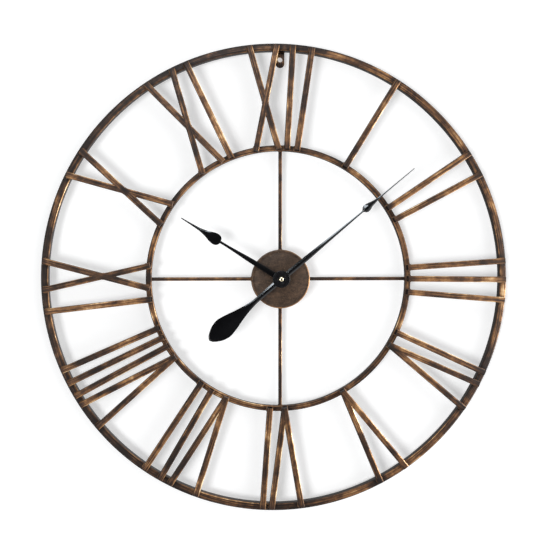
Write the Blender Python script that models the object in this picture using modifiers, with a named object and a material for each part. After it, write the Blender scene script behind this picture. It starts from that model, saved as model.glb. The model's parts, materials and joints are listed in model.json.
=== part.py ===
"""A skeleton wall clock: two square-tube rings, welded bar numerals, a hub pan and a quartz movement.

Every piece is drawn in the plane of the face, with local X to the right, local Y up and local Z
standing out from the wall, under one empty that turns that plane upright: +Z up, face towards -Y.
"""

import math

import bmesh
import bpy
from mathutils import Matrix

# ------------------------------------------------------------------ frame
GAP = 0.0003
RING_RADIUS = 0.400
RING_TUBE = 0.012
INNER_RING_RADIUS = 0.228
INNER_RING_TUBE = 0.0095
TUBE_WALL = 0.001
RING_FRONT = RING_TUBE
RING_STEPS = 96
INNER_RING_STEPS = 72
VENT_RADIUS = 0.002
CUT_PAST = 0.004

BAR = 0.010
BAR_BACK = RING_FRONT + GAP
HEAD_RADIUS = 0.395
FOOT_RADIUS = 0.2205

SPOKE = 0.006
SPOKE_MIDDLE = 0.006

EYE_WIDTH = 0.015
EYE_THICK = 0.002
EYE_BACK = 0.001
EYE_TIP = 0.3612
EYE_HOLE = 0.3749
EYE_HOLE_RADIUS = 0.0041
EYE_STEPS = 12

# hour: its strokes, each (degrees at the foot, degrees at the head) counted from the hour's own place
BARS = {
    "one": (1, [(0.0, 0.75)]),
    "two": (2, [(-3.25, -3.5), (2.75, 2.5)]),
    "three": (3, [(-5.0, -4.5), (0.0, 0.25), (6.0, 5.5)]),
    "four": (4, [(-5.25, -5.25)]),
    "six": (6, [(4.75, 4.5)]),
    "seven": (7, [(2.0, 1.25), (7.5, 5.75)]),
    "eight": (8, [(-0.5, 0.5), (3.75, 4.0), (8.25, 7.5)]),
    "nine": (9, [(-8.75, -7.75)]),
    "eleven": (11, [(7.75, 6.25)]),
    "twelve": (12, [(2.75, 3.0), (7.25, 7.75)]),
}
VEES = {
    "four": (4, [(1.25, -2.0), (1.25, 5.25)]),
    "five": (5, [(1.0, -3.75), (1.0, 3.75)]),
    "six": (6, [(-1.75, -5.25), (-1.75, 2.25)]),
    "seven": (7, [(-5.25, -8.5), (-5.25, -1.5)]),
    "eight": (8, [(-6.25, -8.75), (-6.25, -2.0)]),
}
CROSSES = {
    "nine": (9, [(-4.0, 4.5), (6.0, -2.5)]),
    "ten": (10, [(-5.5, 2.75), (4.75, -4.0)]),
    "eleven": (11, [(-6.75, 2.5), (3.75, -4.75)]),
    "twelve": (12, [(-11.0, -1.0), (-1.0, -7.75)]),
}

# ------------------------------------------------------------------ hub pan and fixings
PAN_RADIUS = 0.050
PAN_WALL = 0.0012
PAN_BACK = 0.002
PAN_FRONT = 0.020
PAN_CORNER = 0.0025
PAN_HOLE_RADIUS = 0.0043
PAN_STEPS = 48
PAN_CORNER_STEPS = 3

BUSHING_RADIUS = 0.0039
BUSHING_BORE = 0.0026
BUSHING_TOP = 0.0250
BUSHING_FLANGE_RADIUS = 0.0060
NUT_ACROSS = 0.012
NUT_THICK = 0.0026
NUT_BORE = 0.0041
WASHER_RADIUS = 0.0080
WASHER_THICK = 0.0008
GASKET_RADIUS = 0.0120
FLANGE_THICK = 0.0010

# ------------------------------------------------------------------ movement case
CASE_HALF = 0.028
CASE_WALL = 0.0012
CASE_BACK = 0.0017
CASE_SPLIT = 0.0090
CASE_FRONT = 0.0172
PARTITION = -0.01135
PARTITION_THICK = 0.0007
BATTERY_RADIUS = 0.0071
BATTERY_Y = -0.0195
BATTERY_DEPTH = 0.0087

# ------------------------------------------------------------------ going train and motion work
# Each pair: module of the teeth, in metres
MOTION_MODULE = 0.00050
HOUR_MODULE = 0.00048
CENTRE_MODULE = 0.00036
THIRD_MODULE = 0.00034
FIFTH_MODULE = 0.00030

CANNON_TEETH = 12
MINUTE_WHEEL_TEETH = 36
MINUTE_PINION_TEETH = 10
HOUR_WHEEL_TEETH = 40
KNOB_TEETH = 12
CENTRE_WHEEL_TEETH = 60
THIRD_PINION_TEETH = 8
THIRD_WHEEL_TEETH = 64
SECOND_PINION_TEETH = 8
SECOND_WHEEL_TEETH = 60
FIFTH_PINION_TEETH = 10
FIFTH_WHEEL_TEETH = 40
ROTOR_TEETH = 8

MINUTE_WHEEL_HEADING = math.radians(150)
KNOB_HEADING = math.radians(130)
THIRD_HEADING = math.radians(160)
FIFTH_HEADING = math.radians(20)
ROTOR_HEADING = math.radians(60)

# (back, front) of each wheel, pinion and shaft: depths from the wall
CENTRE_WHEEL_LAYER = (0.0066, 0.0076)
CANNON_LAYER = (0.0100, 0.0124)
HOUR_WHEEL_LAYER = (0.0130, 0.0144)
MINUTE_WHEEL_LAYER = (0.0102, 0.0114)
MINUTE_PINION_LAYER = (0.0112, 0.0146)
KNOB_PINION_LAYER = (0.0102, 0.0116)
KNOB_SHAFT_LAYER = (0.0010, 0.0112)
KNOB_GRIP_LAYER = (0.0003, 0.0014)
THIRD_PINION_LAYER = (0.0056, 0.0079)
THIRD_WHEEL_LAYER = (0.0049, 0.0057)
THIRD_SHAFT_LAYER = (0.0032, 0.0093)
SECOND_PINION_LAYER = (0.0041, 0.0060)
SECOND_WHEEL_LAYER = (0.0034, 0.0042)
SECOND_SHAFT_LAYER = (0.0031, 0.0087)
FIFTH_PINION_LAYER = (0.0032, 0.0052)
FIFTH_WHEEL_LAYER = (0.0050, 0.0058)
FIFTH_SHAFT_LAYER = (0.0030, 0.0063)
ROTOR_PINION_LAYER = (0.0048, 0.0062)
ROTOR_SHAFT_LAYER = (0.0032, 0.0140)
MAGNET_LAYER = (0.0099, 0.0117)
MINUTE_PINION_PHASE = 0.0

HOUR_PIPE_RADIUS = 0.0025
HOUR_PIPE_BORE = 0.0017
HOUR_PIPE_BACK = 0.0128
HOUR_PIPE_TOP = 0.0270
HOUR_WHEEL_BORE = 0.0022
ARBOR_RADIUS = 0.0016
ARBOR_TIP_RADIUS = 0.0014
ARBOR_BACK = 0.0064
ARBOR_SHOULDER = 0.0281
ARBOR_TOP = 0.0316
ARBOR_BORE_FRONT = 0.0090
SPINDLE_RADIUS = 0.0006
SPINDLE_BORE = 0.0008
MINUTE_WHEEL_BORE = 0.0007
ROTOR_SHAFT_RADIUS = 0.0005
MAGNET_RADIUS = 0.0027
KNOB_SHAFT_RADIUS = 0.0010
KNOB_SHAFT_BORE = 0.0013
KNOB_RADIUS = 0.0052
KNOB_GROOVE_RADIUS = 0.0047
KNOB_LOBES = 18
SMALL_STEPS = 20
ROUND_STEPS = 24
WELD_REACH = 0.000002
SHARP_ANGLE = math.radians(35)

# ------------------------------------------------------------------ middle plate, motor and circuit
PLATE_LAYER = (0.0086, 0.0096)
PLATE_OUTLINE = [
    (-0.0255, -0.0095), (0.0070, -0.0095), (0.0070, 0.0120), (-0.0035, 0.0170), (-0.0255, 0.0170),
]
PLATE_ARBOR_HOLE = 0.0020
POST_RADIUS = 0.0006
POST_FRONT = 0.0150
STATOR_LAYER = (0.0104, 0.0112)
STATOR_OUTLINE = [
    (-0.002, 0.024), (-0.002, 0.013), (0.0085, 0.013), (0.0085, 0.005), (0.0185, 0.005),
    (0.0185, 0.013), (0.024, 0.013), (0.024, 0.024), (0.021, 0.024), (0.021, 0.016),
    (0.001, 0.016), (0.001, 0.024),
]
STATOR_HOLE_RADIUS = 0.0032
COIL_Y = 0.0215
COIL_DEPTH = 0.0097
COIL_LEFT = 0.0015
COIL_RIGHT = 0.0205
COIL_RADIUS = 0.0032
COIL_FLANGE = (0.0008, 0.0076, 0.0076)
COIL_SLOT = (0.030, 0.0040, 0.0014)
CORE_X = 0.011
CORE_SIZE = (0.026, 0.0034, 0.0008)
BOARD_SIZE = (0.036, 0.0125, 0.0010)
BOARD_MIDDLE = (0.007, 0.01975, 0.0037)
BLOB_PLACE = (0.006, 0.0160, 0)
BLOB_PROFILE = [(0.0, 0.0052), (0.0018, 0.0050), (0.0028, 0.0041), (0.0028, 0.0035), (0.0, 0.0035)]
CRYSTAL_RADIUS = 0.0010
CRYSTAL_ENDS = ((-0.0100, 0.0205, 0.0057), (-0.0040, 0.0205, 0.0057))

# ------------------------------------------------------------------ battery
BATTERY_LEFT = -0.0240
BATTERY_SHOULDER = 0.0244
BATTERY_TIP = 0.0256
BATTERY_STEPS = 32
NUB_RADIUS = 0.0027
CONTACT_SIZE = (0.0004, 0.0120, 0.0100)
CONTACT_X = 0.0262
SPRING_RADIUS = 0.0030

# ------------------------------------------------------------------ hands
HOUR_ANGLE = 301.5
MINUTE_ANGLE = 50.4
TAIL_ANGLE = 229.8
HAND_THICK = 0.0010
BOSS_RADIUS = 0.0145
BOSS_CORNER = 0.0008
HOUR_BOSS_RADIUS = 0.0135
FIT_GAP = 0.0001
HOUR_HAND_BACK = 0.0254
HOUR_BOSS_TOP = 0.0276
MINUTE_HAND_BACK = 0.0284
MINUTE_BOSS_TOP = 0.0310
BOSS_RECESS_RADIUS = 0.0060
CAP_RADIUS = 0.0038
CAP_BACK = 0.0297
CAP_TOP = 0.0330
CAP_DOME = 0.0018
# (share of the radius, share of the rise) from the top of the dome to its rim
CAP_CURVE = [(0.0, 1.0), (0.55, 0.89), (0.9, 0.44), (1.0, 0.0)]
BLADE_SAMPLES = 3
BOSS_STEPS = 40

# (distance from the arbor, half width) down each blade
HOUR_BLADE = [
    (0.010, 0.0046), (0.050, 0.0043), (0.1165, 0.0021), (0.1190, 0.0023), (0.1207, 0.0054),
    (0.1235, 0.0083), (0.129, 0.0098), (0.135, 0.0090), (0.147, 0.0052), (0.160, 0.0026),
    (0.175, 0.0016), (0.196, 0.0008),
]
MINUTE_BLADE = [
    (0.010, 0.0046), (0.052, 0.0044), (0.100, 0.0032), (0.148, 0.0021), (0.180, 0.0015),
    (0.1822, 0.0034), (0.1845, 0.0056), (0.188, 0.0068), (0.193, 0.0061), (0.204, 0.0033),
    (0.216, 0.0017), (0.240, 0.0010), (0.2955, 0.0006),
]
TAIL_BLADE = [
    (0.010, 0.0046), (0.052, 0.0042), (0.072, 0.0060), (0.092, 0.0100), (0.112, 0.0153),
    (0.127, 0.0178), (0.138, 0.0158), (0.149, 0.0104), (0.1555, 0.0052), (0.1582, 0.0007),
]

FACE_HALF_DEPTH = CAP_TOP / 2


# ------------------------------------------------------------------ where the wheels stand
def place_from(start, heading, first_teeth, second_teeth, module):
    """The centre of a wheel in mesh with the one at start."""
    reach = (first_teeth + second_teeth) / 2 * module
    return start[0] + reach * math.cos(heading), start[1] + reach * math.sin(heading)


ORIGIN = (0.0, 0.0)
MINUTE_WHEEL_PLACE = place_from(
    ORIGIN, MINUTE_WHEEL_HEADING, CANNON_TEETH, MINUTE_WHEEL_TEETH, MOTION_MODULE
)
KNOB_PLACE = place_from(
    MINUTE_WHEEL_PLACE, KNOB_HEADING, MINUTE_WHEEL_TEETH, KNOB_TEETH, MOTION_MODULE
)
THIRD_PLACE = place_from(
    ORIGIN, THIRD_HEADING, CENTRE_WHEEL_TEETH, THIRD_PINION_TEETH, CENTRE_MODULE
)
FIFTH_PLACE = place_from(
    ORIGIN, FIFTH_HEADING, SECOND_WHEEL_TEETH, FIFTH_PINION_TEETH, FIFTH_MODULE
)
ROTOR_PLACE = place_from(FIFTH_PLACE, ROTOR_HEADING, FIFTH_WHEEL_TEETH, ROTOR_TEETH, FIFTH_MODULE)


# ------------------------------------------------------------------ scene and materials
def clear_scene():
    for old in list(bpy.data.objects):
        bpy.data.objects.remove(old)


def new_collection(name, hidden=False):
    made = bpy.data.collections.new(name)
    bpy.context.scene.collection.children.link(made)
    made.hide_render = hidden
    return made


def new_material(name, colour, metallic, roughness):
    made = bpy.data.materials.new(name)
    made.use_nodes = True
    shader = made.node_tree.nodes["Principled BSDF"]
    shader.inputs["Base Color"].default_value = (*colour, 1.0)
    shader.inputs["Metallic"].default_value = metallic
    shader.inputs["Roughness"].default_value = roughness
    return made


def face_plane():
    """The empty under which every piece is drawn: it stands the face upright and centres its depth."""
    plane = bpy.data.objects.new("face_plane", None)
    plane.location = (0, FACE_HALF_DEPTH, 0)
    plane.rotation_euler = (math.pi / 2, 0, 0)
    PARTS.objects.link(plane)
    return plane


def pivot(name, x, y):
    """An empty on the axis of a turning piece."""
    made = bpy.data.objects.new(name, None)
    made.parent = FACE
    made.location = (x, y, 0)
    PARTS.objects.link(made)
    return made


# ------------------------------------------------------------------ shapes
def circle(radius, steps, x=0.0, y=0.0):
    turns = [2 * math.pi * k / steps for k in range(steps)]
    return [(x + radius * math.cos(t), y + radius * math.sin(t)) for t in turns]


def flat(outlines, back, front):
    """A mesh object with these flat outlines, holes among them, between two depths."""
    data = bpy.data.curves.new("outline", "CURVE")
    data.dimensions = "2D"
    data.fill_mode = "BOTH"
    data.extrude = (front - back) / 2
    for outline in outlines:
        spline = data.splines.new("POLY")
        spline.points.add(len(outline) - 1)
        for point, (x, y) in zip(spline.points, outline):
            point.co = (x, y, 0, 1)
        spline.use_cyclic_u = True
    drawn = bpy.data.objects.new("outline", data)
    drawn.location.z = (back + front) / 2
    SHOP.objects.link(drawn)
    return to_mesh(drawn)


def turned(profile, steps):
    """A mesh object turned about local Z from (radius, depth) points, listed down the outer side first."""
    data = bpy.data.meshes.new("profile")
    points = [(radius, 0, depth) for radius, depth in profile]
    edges = [(k, (k + 1) % len(points)) for k in range(len(points))]
    data.from_pydata(points, edges, [])
    drawn = bpy.data.objects.new("profile", data)
    SHOP.objects.link(drawn)
    screw = drawn.modifiers.new("turn", "SCREW")
    screw.steps = steps
    screw.render_steps = steps
    screw.use_merge_vertices = True
    screw.merge_threshold = 0.00001
    return to_mesh(drawn)


def block(size, middle):
    """A mesh object: a box of this size about this middle."""
    shape = bmesh.new()
    bmesh.ops.create_cube(shape, size=1.0)
    bmesh.ops.scale(shape, vec=size, verts=shape.verts)
    bmesh.ops.translate(shape, vec=middle, verts=shape.verts)
    data = bpy.data.meshes.new("block")
    shape.to_mesh(data)
    shape.free()
    made = bpy.data.objects.new("block", data)
    SHOP.objects.link(made)
    return made


def rod(radius, start, end, steps=SMALL_STEPS):
    """A solid round bar along local X."""
    length = end[0] - start[0]
    shape = bmesh.new()
    bmesh.ops.create_cone(
        shape, cap_ends=True, segments=steps, radius1=radius, radius2=radius, depth=length
    )
    data = bpy.data.meshes.new("rod")
    shape.to_mesh(data)
    shape.free()
    made = bpy.data.objects.new("rod", data)
    made.rotation_euler = (0, math.pi / 2, 0)
    made.location = ((start[0] + end[0]) / 2, start[1], start[2])
    SHOP.objects.link(made)
    return to_mesh(made)


def to_mesh(drawn):
    """The evaluated object as one welded mesh with its place in the mesh. The drawn one is removed."""
    bpy.context.view_layer.update()
    graph = bpy.context.evaluated_depsgraph_get()
    data = bpy.data.meshes.new_from_object(drawn.evaluated_get(graph))
    data.transform(drawn.matrix_world)
    shape = bmesh.new()
    shape.from_mesh(data)
    bmesh.ops.remove_doubles(shape, verts=shape.verts, dist=WELD_REACH)
    bmesh.ops.recalc_face_normals(shape, faces=shape.faces)
    shape.to_mesh(data)
    shape.free()
    made = bpy.data.objects.new(drawn.name, data)
    SHOP.objects.link(made)
    bpy.data.objects.remove(drawn)
    return made


def combine(base, others, operation):
    for other in others:
        joined = base.modifiers.new(operation, "BOOLEAN")
        joined.operation = operation
        joined.object = other
        other.hide_render = True
        other.display_type = "WIRE"
    made = to_mesh(base)
    for other in others:
        bpy.data.objects.remove(other)
    return made


def union(base, *others):
    return combine(base, others, "UNION")


def cut(base, *others):
    return combine(base, others, "DIFFERENCE")


def name_part(shape, name, finish, parent=None, smooth=False):
    """Puts a finished shape in the clock: its name, its material and the frame or pivot that holds it."""
    holder = parent or FACE
    if parent:
        shape.data.transform(parent.matrix_local.inverted())
    shape.name = name
    shape.data.name = name
    shape.data.materials.clear()
    shape.data.materials.append(FINISHES[finish])
    if smooth:
        shape.data.shade_smooth()
        shape.data.set_sharp_from_angle(angle=SHARP_ANGLE)
    SHOP.objects.unlink(shape)
    PARTS.objects.link(shape)
    shape.parent = holder
    return shape


# ------------------------------------------------------------------ frame pieces
def square_section(outer_radius, size, front):
    inner_radius = outer_radius - size
    back = front - size
    return [
        (outer_radius, front),
        (outer_radius, back),
        (inner_radius, back),
        (inner_radius, front),
    ]


def ring(name, radius, size, steps):
    """A closed ring of square tube, with one small vent in the back wall at the bottom."""
    tube = turned(square_section(radius, size, RING_FRONT), steps)
    hollow_radius = radius - TUBE_WALL
    hollow_size = size - 2 * TUBE_WALL
    hollow = turned(square_section(hollow_radius, hollow_size, RING_FRONT - TUBE_WALL), steps)
    back = RING_FRONT - size
    middle = radius - size / 2
    vent_outline = circle(VENT_RADIUS, SMALL_STEPS, 0, -middle)
    vent = flat([vent_outline], back - CUT_PAST, back + size / 2)
    return name_part(cut(tube, hollow, vent), name, "bronze", smooth=True)


def polar(radius, degrees):
    """A point of the face at this radius, clockwise from twelve."""
    turn = math.radians(degrees)
    return radius * math.sin(turn), radius * math.cos(turn)


def bar_between(foot, head, width, back, front, past=0.0):
    """A straight square bar of this width from foot to head, run past both ends."""
    dx = head[0] - foot[0]
    dy = head[1] - foot[1]
    length = math.hypot(dx, dy)
    made = block((width, length + 2 * past, front - back), (0, 0, 0))
    made.rotation_euler = (0, 0, math.atan2(dy, dx) - math.pi / 2)
    made.location = ((foot[0] + head[0]) / 2, (foot[1] + head[1]) / 2, (back + front) / 2)
    return to_mesh(made)


def stroke(hour, angles, hollow=False):
    """One bar of a numeral, or the space inside its tube."""
    foot = polar(FOOT_RADIUS, 30 * hour + angles[0])
    head = polar(HEAD_RADIUS, 30 * hour + angles[1])
    inset = TUBE_WALL if hollow else 0.0
    past = CUT_PAST if hollow else 0.0
    return bar_between(
        foot, head, BAR - 2 * inset, BAR_BACK + inset, BAR_BACK + BAR - inset, past
    )


def plain_bars(name, hour, strokes):
    for letter, angles in zip("abc", strokes):
        tail = f"_bar_{letter}" if len(strokes) > 1 else "_bar"
        tube = cut(stroke(hour, angles), stroke(hour, angles, hollow=True))
        name_part(tube, name + tail, "bronze")


def weldment(name, hour, strokes):
    """Two bars welded into one letter."""
    first, second = (stroke(hour, angles) for angles in strokes)
    spaces = [stroke(hour, angles, hollow=True) for angles in strokes]
    name_part(cut(union(first, second), *spaces), name, "bronze")


def numerals():
    for name, (hour, strokes) in BARS.items():
        plain_bars(name, hour, strokes)
    for name, (hour, strokes) in VEES.items():
        weldment(f"{name}_vee", hour, strokes)
    for name, (hour, strokes) in CROSSES.items():
        weldment(f"{name}_cross", hour, strokes)


def spokes():
    inner = PAN_RADIUS + GAP
    outer = INNER_RING_RADIUS - INNER_RING_TUBE - 2 * GAP
    back = SPOKE_MIDDLE - SPOKE / 2
    for place, degrees in (("top", 0), ("right", 90), ("bottom", 180), ("left", 270)):
        made = bar_between(polar(inner, degrees), polar(outer, degrees), SPOKE, back, back + SPOKE)
        name_part(made, f"spoke_{place}", "bronze")


def hanging_eye():
    half = EYE_WIDTH / 2
    top = RING_RADIUS - RING_TUBE - 2 * GAP
    tip_middle = EYE_TIP + half
    tip = [
        (half * math.cos(t), tip_middle + half * math.sin(t))
        for t in (math.pi + math.pi * k / EYE_STEPS for k in range(EYE_STEPS + 1))
    ]
    outline = [(half, top), (-half, top), *tip]
    hole = circle(EYE_HOLE_RADIUS, SMALL_STEPS, 0, EYE_HOLE)
    made = flat([outline, hole], EYE_BACK, EYE_BACK + EYE_THICK)
    name_part(made, "hanging_eye", "bronze")


def hub_pan():
    """A pressed pan with a rounded front edge, open at the back, with a hole for the bushing."""
    def edge(radius, front, corner):
        turns = [math.pi / 2 * k / PAN_CORNER_STEPS for k in range(PAN_CORNER_STEPS + 1)]
        middle = (radius - corner, front - corner)
        return [
            (middle[0] + corner * math.sin(t), middle[1] + corner * math.cos(t)) for t in turns
        ]

    outside = edge(PAN_RADIUS, PAN_FRONT, PAN_CORNER)
    inside = edge(PAN_RADIUS - PAN_WALL, PAN_FRONT - PAN_WALL, PAN_CORNER - PAN_WALL)
    profile = [
        (PAN_HOLE_RADIUS, PAN_FRONT),
        *outside,
        (PAN_RADIUS, PAN_BACK),
        (PAN_RADIUS - PAN_WALL, PAN_BACK),
        *reversed(inside),
        (PAN_HOLE_RADIUS, PAN_FRONT - PAN_WALL),
    ]
    name_part(turned(profile, PAN_STEPS), "hub_pan", "bronze_plate", smooth=True)


# ------------------------------------------------------------------ fixings
def washer_ring(outer, bore, back, front, steps=ROUND_STEPS):
    return turned([(outer, front), (outer, back), (bore, back), (bore, front)], steps)


def fixings():
    flange_front = CASE_FRONT - CASE_WALL - GAP
    flange_back = flange_front - FLANGE_THICK
    bushing = turned(
        [
            (BUSHING_RADIUS, BUSHING_TOP),
            (BUSHING_RADIUS, flange_front),
            (BUSHING_FLANGE_RADIUS, flange_front),
            (BUSHING_FLANGE_RADIUS, flange_back),
            (BUSHING_BORE, flange_back),
            (BUSHING_BORE, BUSHING_TOP),
        ],
        ROUND_STEPS,
    )
    name_part(bushing, "threaded_bushing", "brass", smooth=True)
    gasket_back = CASE_FRONT + GAP
    gasket = washer_ring(GASKET_RADIUS, PAN_HOLE_RADIUS, gasket_back, PAN_FRONT - PAN_WALL - GAP)
    name_part(gasket, "rubber_gasket", "rubber", smooth=True)
    washer_back = PAN_FRONT + GAP
    washer_front = washer_back + WASHER_THICK
    washer = washer_ring(WASHER_RADIUS, PAN_HOLE_RADIUS, washer_back, washer_front)
    name_part(washer, "brass_washer", "brass", smooth=True)
    nut_back = washer_front + GAP
    hexagon = circle(NUT_ACROSS / math.sqrt(3), 6)
    nut = flat([hexagon, circle(NUT_BORE, ROUND_STEPS)], nut_back, nut_back + NUT_THICK)
    name_part(nut, "hex_nut", "brass")


# ------------------------------------------------------------------ movement case
def square_cup(back, front, open_front):
    """Half of the case: a square cup with a wall across it between the train and the battery."""
    wide = 2 * CASE_HALF
    shell = block((wide, wide, front - back), (0, 0, (back + front) / 2))
    floor = back + CASE_WALL if open_front else front - CASE_WALL
    inner_back = floor if open_front else back - CUT_PAST
    inner_front = front + CUT_PAST if open_front else floor
    train_low = PARTITION
    battery_high = PARTITION - PARTITION_THICK
    inside = CASE_HALF - CASE_WALL
    spans = ((train_low, inside), (-inside, battery_high))
    rooms = [
        block(
            (2 * inside, high - low, inner_front - inner_back),
            (0, (low + high) / 2, (inner_back + inner_front) / 2),
        )
        for low, high in spans
    ]
    return cut(shell, *rooms)


def movement_case():
    front = square_cup(CASE_SPLIT + GAP, CASE_FRONT, open_front=False)
    arbor_hole = flat(
        [circle(PAN_HOLE_RADIUS, ROUND_STEPS)], CASE_FRONT - CUT_PAST, CASE_FRONT + CUT_PAST
    )
    name_part(cut(front, arbor_hole), "movement_case_front", "black_plastic")
    back = square_cup(CASE_BACK, CASE_SPLIT, open_front=True)
    inside = CASE_HALF - CASE_WALL
    high = PARTITION - PARTITION_THICK
    door = block(
        (2 * inside, high + inside, 4 * CASE_WALL), (0, (high - inside) / 2, CASE_BACK)
    )
    shaft_outline = circle(KNOB_SHAFT_BORE, SMALL_STEPS, *KNOB_PLACE)
    knob_hole = flat([shaft_outline], CASE_BACK - CUT_PAST, CASE_BACK + CUT_PAST)
    name_part(cut(back, door, knob_hole), "movement_case_back", "black_plastic")


def middle_plate():
    """The plate between the going train and the motion work, with the minute wheel's post on it."""
    holes = [
        circle(PLATE_ARBOR_HOLE, SMALL_STEPS),
        circle(KNOB_SHAFT_BORE, SMALL_STEPS, *KNOB_PLACE),
        circle(SPINDLE_BORE, SMALL_STEPS, *THIRD_PLACE),
    ]
    plate = flat([PLATE_OUTLINE, *holes], *PLATE_LAYER)
    plate_middle = sum(PLATE_LAYER) / 2
    post = spindle(MINUTE_WHEEL_PLACE, POST_RADIUS, plate_middle, POST_FRONT)
    name_part(union(plate, post), "middle_plate", "white_plastic")


# ------------------------------------------------------------------ gears
def meshing_phase(phase, teeth, other_teeth, heading):
    """The phase that puts a gap of the other wheel where this one has a tooth."""
    along = (heading - phase) * teeth / math.tau
    return heading + math.pi - (0.5 - along) * math.tau / other_teeth


def tooth_outline(teeth, module, phase, centre):
    """Straight-sided teeth with room between them."""
    pitch = math.tau / teeth
    root = (teeth / 2 - 1.15) * module
    tip = (teeth / 2 + 0.85) * module
    steps = ((root, -0.25), (tip, -0.09), (tip, 0.09), (root, 0.25))
    return [
        (
            centre[0] + radius * math.cos(phase + (k + share) * pitch),
            centre[1] + radius * math.sin(phase + (k + share) * pitch),
        )
        for k in range(teeth)
        for radius, share in steps
    ]


def gear(teeth, module, phase, centre, layer, bore=0.0):
    outlines = [tooth_outline(teeth, module, phase, centre)]
    if bore:
        outlines.append(circle(bore, SMALL_STEPS, *centre))
    return flat(outlines, *layer)


def spindle(centre, radius, back, front):
    return flat([circle(radius, SMALL_STEPS, *centre)], back, front)


def centre_arbor(holder):
    """Centre wheel, cannon pinion and the arbor that carries the minute hand."""
    wheel = gear(CENTRE_WHEEL_TEETH, CENTRE_MODULE, 0.0, ORIGIN, CENTRE_WHEEL_LAYER)
    pinion = gear(CANNON_TEETH, MOTION_MODULE, 0.0, ORIGIN, CANNON_LAYER)
    shaft = turned(
        [
            (ARBOR_TIP_RADIUS, ARBOR_TOP),
            (ARBOR_TIP_RADIUS, ARBOR_SHOULDER),
            (ARBOR_RADIUS, ARBOR_SHOULDER),
            (ARBOR_RADIUS, ARBOR_BACK),
            (0.0, ARBOR_BACK),
            (0.0, ARBOR_TOP),
        ],
        SMALL_STEPS,
    )
    bore = spindle(ORIGIN, SPINDLE_BORE, ARBOR_BACK - CUT_PAST, ARBOR_BORE_FRONT)
    name_part(cut(union(shaft, wheel, pinion), bore), "centre_arbor", "steel", holder)


def hour_wheel(holder):
    phase = meshing_phase(
        MINUTE_PINION_PHASE, MINUTE_PINION_TEETH, HOUR_WHEEL_TEETH, MINUTE_WHEEL_HEADING + math.pi
    )
    wheel = gear(HOUR_WHEEL_TEETH, HOUR_MODULE, phase, ORIGIN, HOUR_WHEEL_LAYER, HOUR_WHEEL_BORE)
    pipe = washer_ring(HOUR_PIPE_RADIUS, HOUR_PIPE_BORE, HOUR_PIPE_BACK, HOUR_PIPE_TOP)
    name_part(union(pipe, wheel), "hour_wheel", "white_plastic", holder)


def minute_wheel(holder):
    phase = meshing_phase(0.0, CANNON_TEETH, MINUTE_WHEEL_TEETH, MINUTE_WHEEL_HEADING)
    centre = MINUTE_WHEEL_PLACE
    wheel = gear(MINUTE_WHEEL_TEETH, MOTION_MODULE, phase, centre, MINUTE_WHEEL_LAYER)
    pinion = gear(
        MINUTE_PINION_TEETH, HOUR_MODULE, MINUTE_PINION_PHASE, centre, MINUTE_PINION_LAYER
    )
    bore_back = MINUTE_WHEEL_LAYER[0] - CUT_PAST
    bore_front = MINUTE_PINION_LAYER[1] + CUT_PAST
    bore = spindle(centre, MINUTE_WHEEL_BORE, bore_back, bore_front)
    name_part(cut(union(wheel, pinion), bore), "minute_wheel", "white_plastic", holder)


def knurled(high, low, lobes, centre):
    return [
        (
            centre[0] + radius * math.cos(math.pi * k / lobes),
            centre[1] + radius * math.sin(math.pi * k / lobes),
        )
        for k in range(2 * lobes)
        for radius in ((high,) if k % 2 else (low,))
    ]


def setting_knob(holder):
    minute_phase = meshing_phase(0.0, CANNON_TEETH, MINUTE_WHEEL_TEETH, MINUTE_WHEEL_HEADING)
    phase = meshing_phase(minute_phase, MINUTE_WHEEL_TEETH, KNOB_TEETH, KNOB_HEADING)
    centre = KNOB_PLACE
    pinion = gear(KNOB_TEETH, MOTION_MODULE, phase, centre, KNOB_PINION_LAYER)
    shaft = spindle(centre, KNOB_SHAFT_RADIUS, *KNOB_SHAFT_LAYER)
    grip = flat([knurled(KNOB_RADIUS, KNOB_GROOVE_RADIUS, KNOB_LOBES, centre)], *KNOB_GRIP_LAYER)
    name_part(union(shaft, pinion, grip), "setting_knob", "black_plastic", holder)


def third_wheel(holder):
    phase = meshing_phase(0.0, CENTRE_WHEEL_TEETH, THIRD_PINION_TEETH, THIRD_HEADING)
    centre = THIRD_PLACE
    pinion = gear(THIRD_PINION_TEETH, CENTRE_MODULE, phase, centre, THIRD_PINION_LAYER)
    wheel = gear(THIRD_WHEEL_TEETH, THIRD_MODULE, 0.0, centre, THIRD_WHEEL_LAYER)
    shaft = spindle(centre, SPINDLE_RADIUS, *THIRD_SHAFT_LAYER)
    name_part(union(shaft, wheel, pinion), "third_wheel", "white_plastic", holder)


def second_wheel(holder):
    phase = meshing_phase(0.0, THIRD_WHEEL_TEETH, SECOND_PINION_TEETH, THIRD_HEADING + math.pi)
    pinion = gear(SECOND_PINION_TEETH, THIRD_MODULE, phase, ORIGIN, SECOND_PINION_LAYER)
    wheel = gear(SECOND_WHEEL_TEETH, FIFTH_MODULE, 0.0, ORIGIN, SECOND_WHEEL_LAYER)
    shaft = spindle(ORIGIN, SPINDLE_RADIUS, *SECOND_SHAFT_LAYER)
    name_part(union(shaft, wheel, pinion), "second_wheel", "white_plastic", holder)


def fifth_wheel(holder):
    phase = meshing_phase(0.0, SECOND_WHEEL_TEETH, FIFTH_PINION_TEETH, FIFTH_HEADING)
    centre = FIFTH_PLACE
    pinion = gear(FIFTH_PINION_TEETH, FIFTH_MODULE, phase, centre, FIFTH_PINION_LAYER)
    wheel = gear(FIFTH_WHEEL_TEETH, FIFTH_MODULE, 0.0, centre, FIFTH_WHEEL_LAYER)
    shaft = spindle(centre, SPINDLE_RADIUS, *FIFTH_SHAFT_LAYER)
    name_part(union(shaft, wheel, pinion), "fifth_wheel", "white_plastic", holder)


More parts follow.
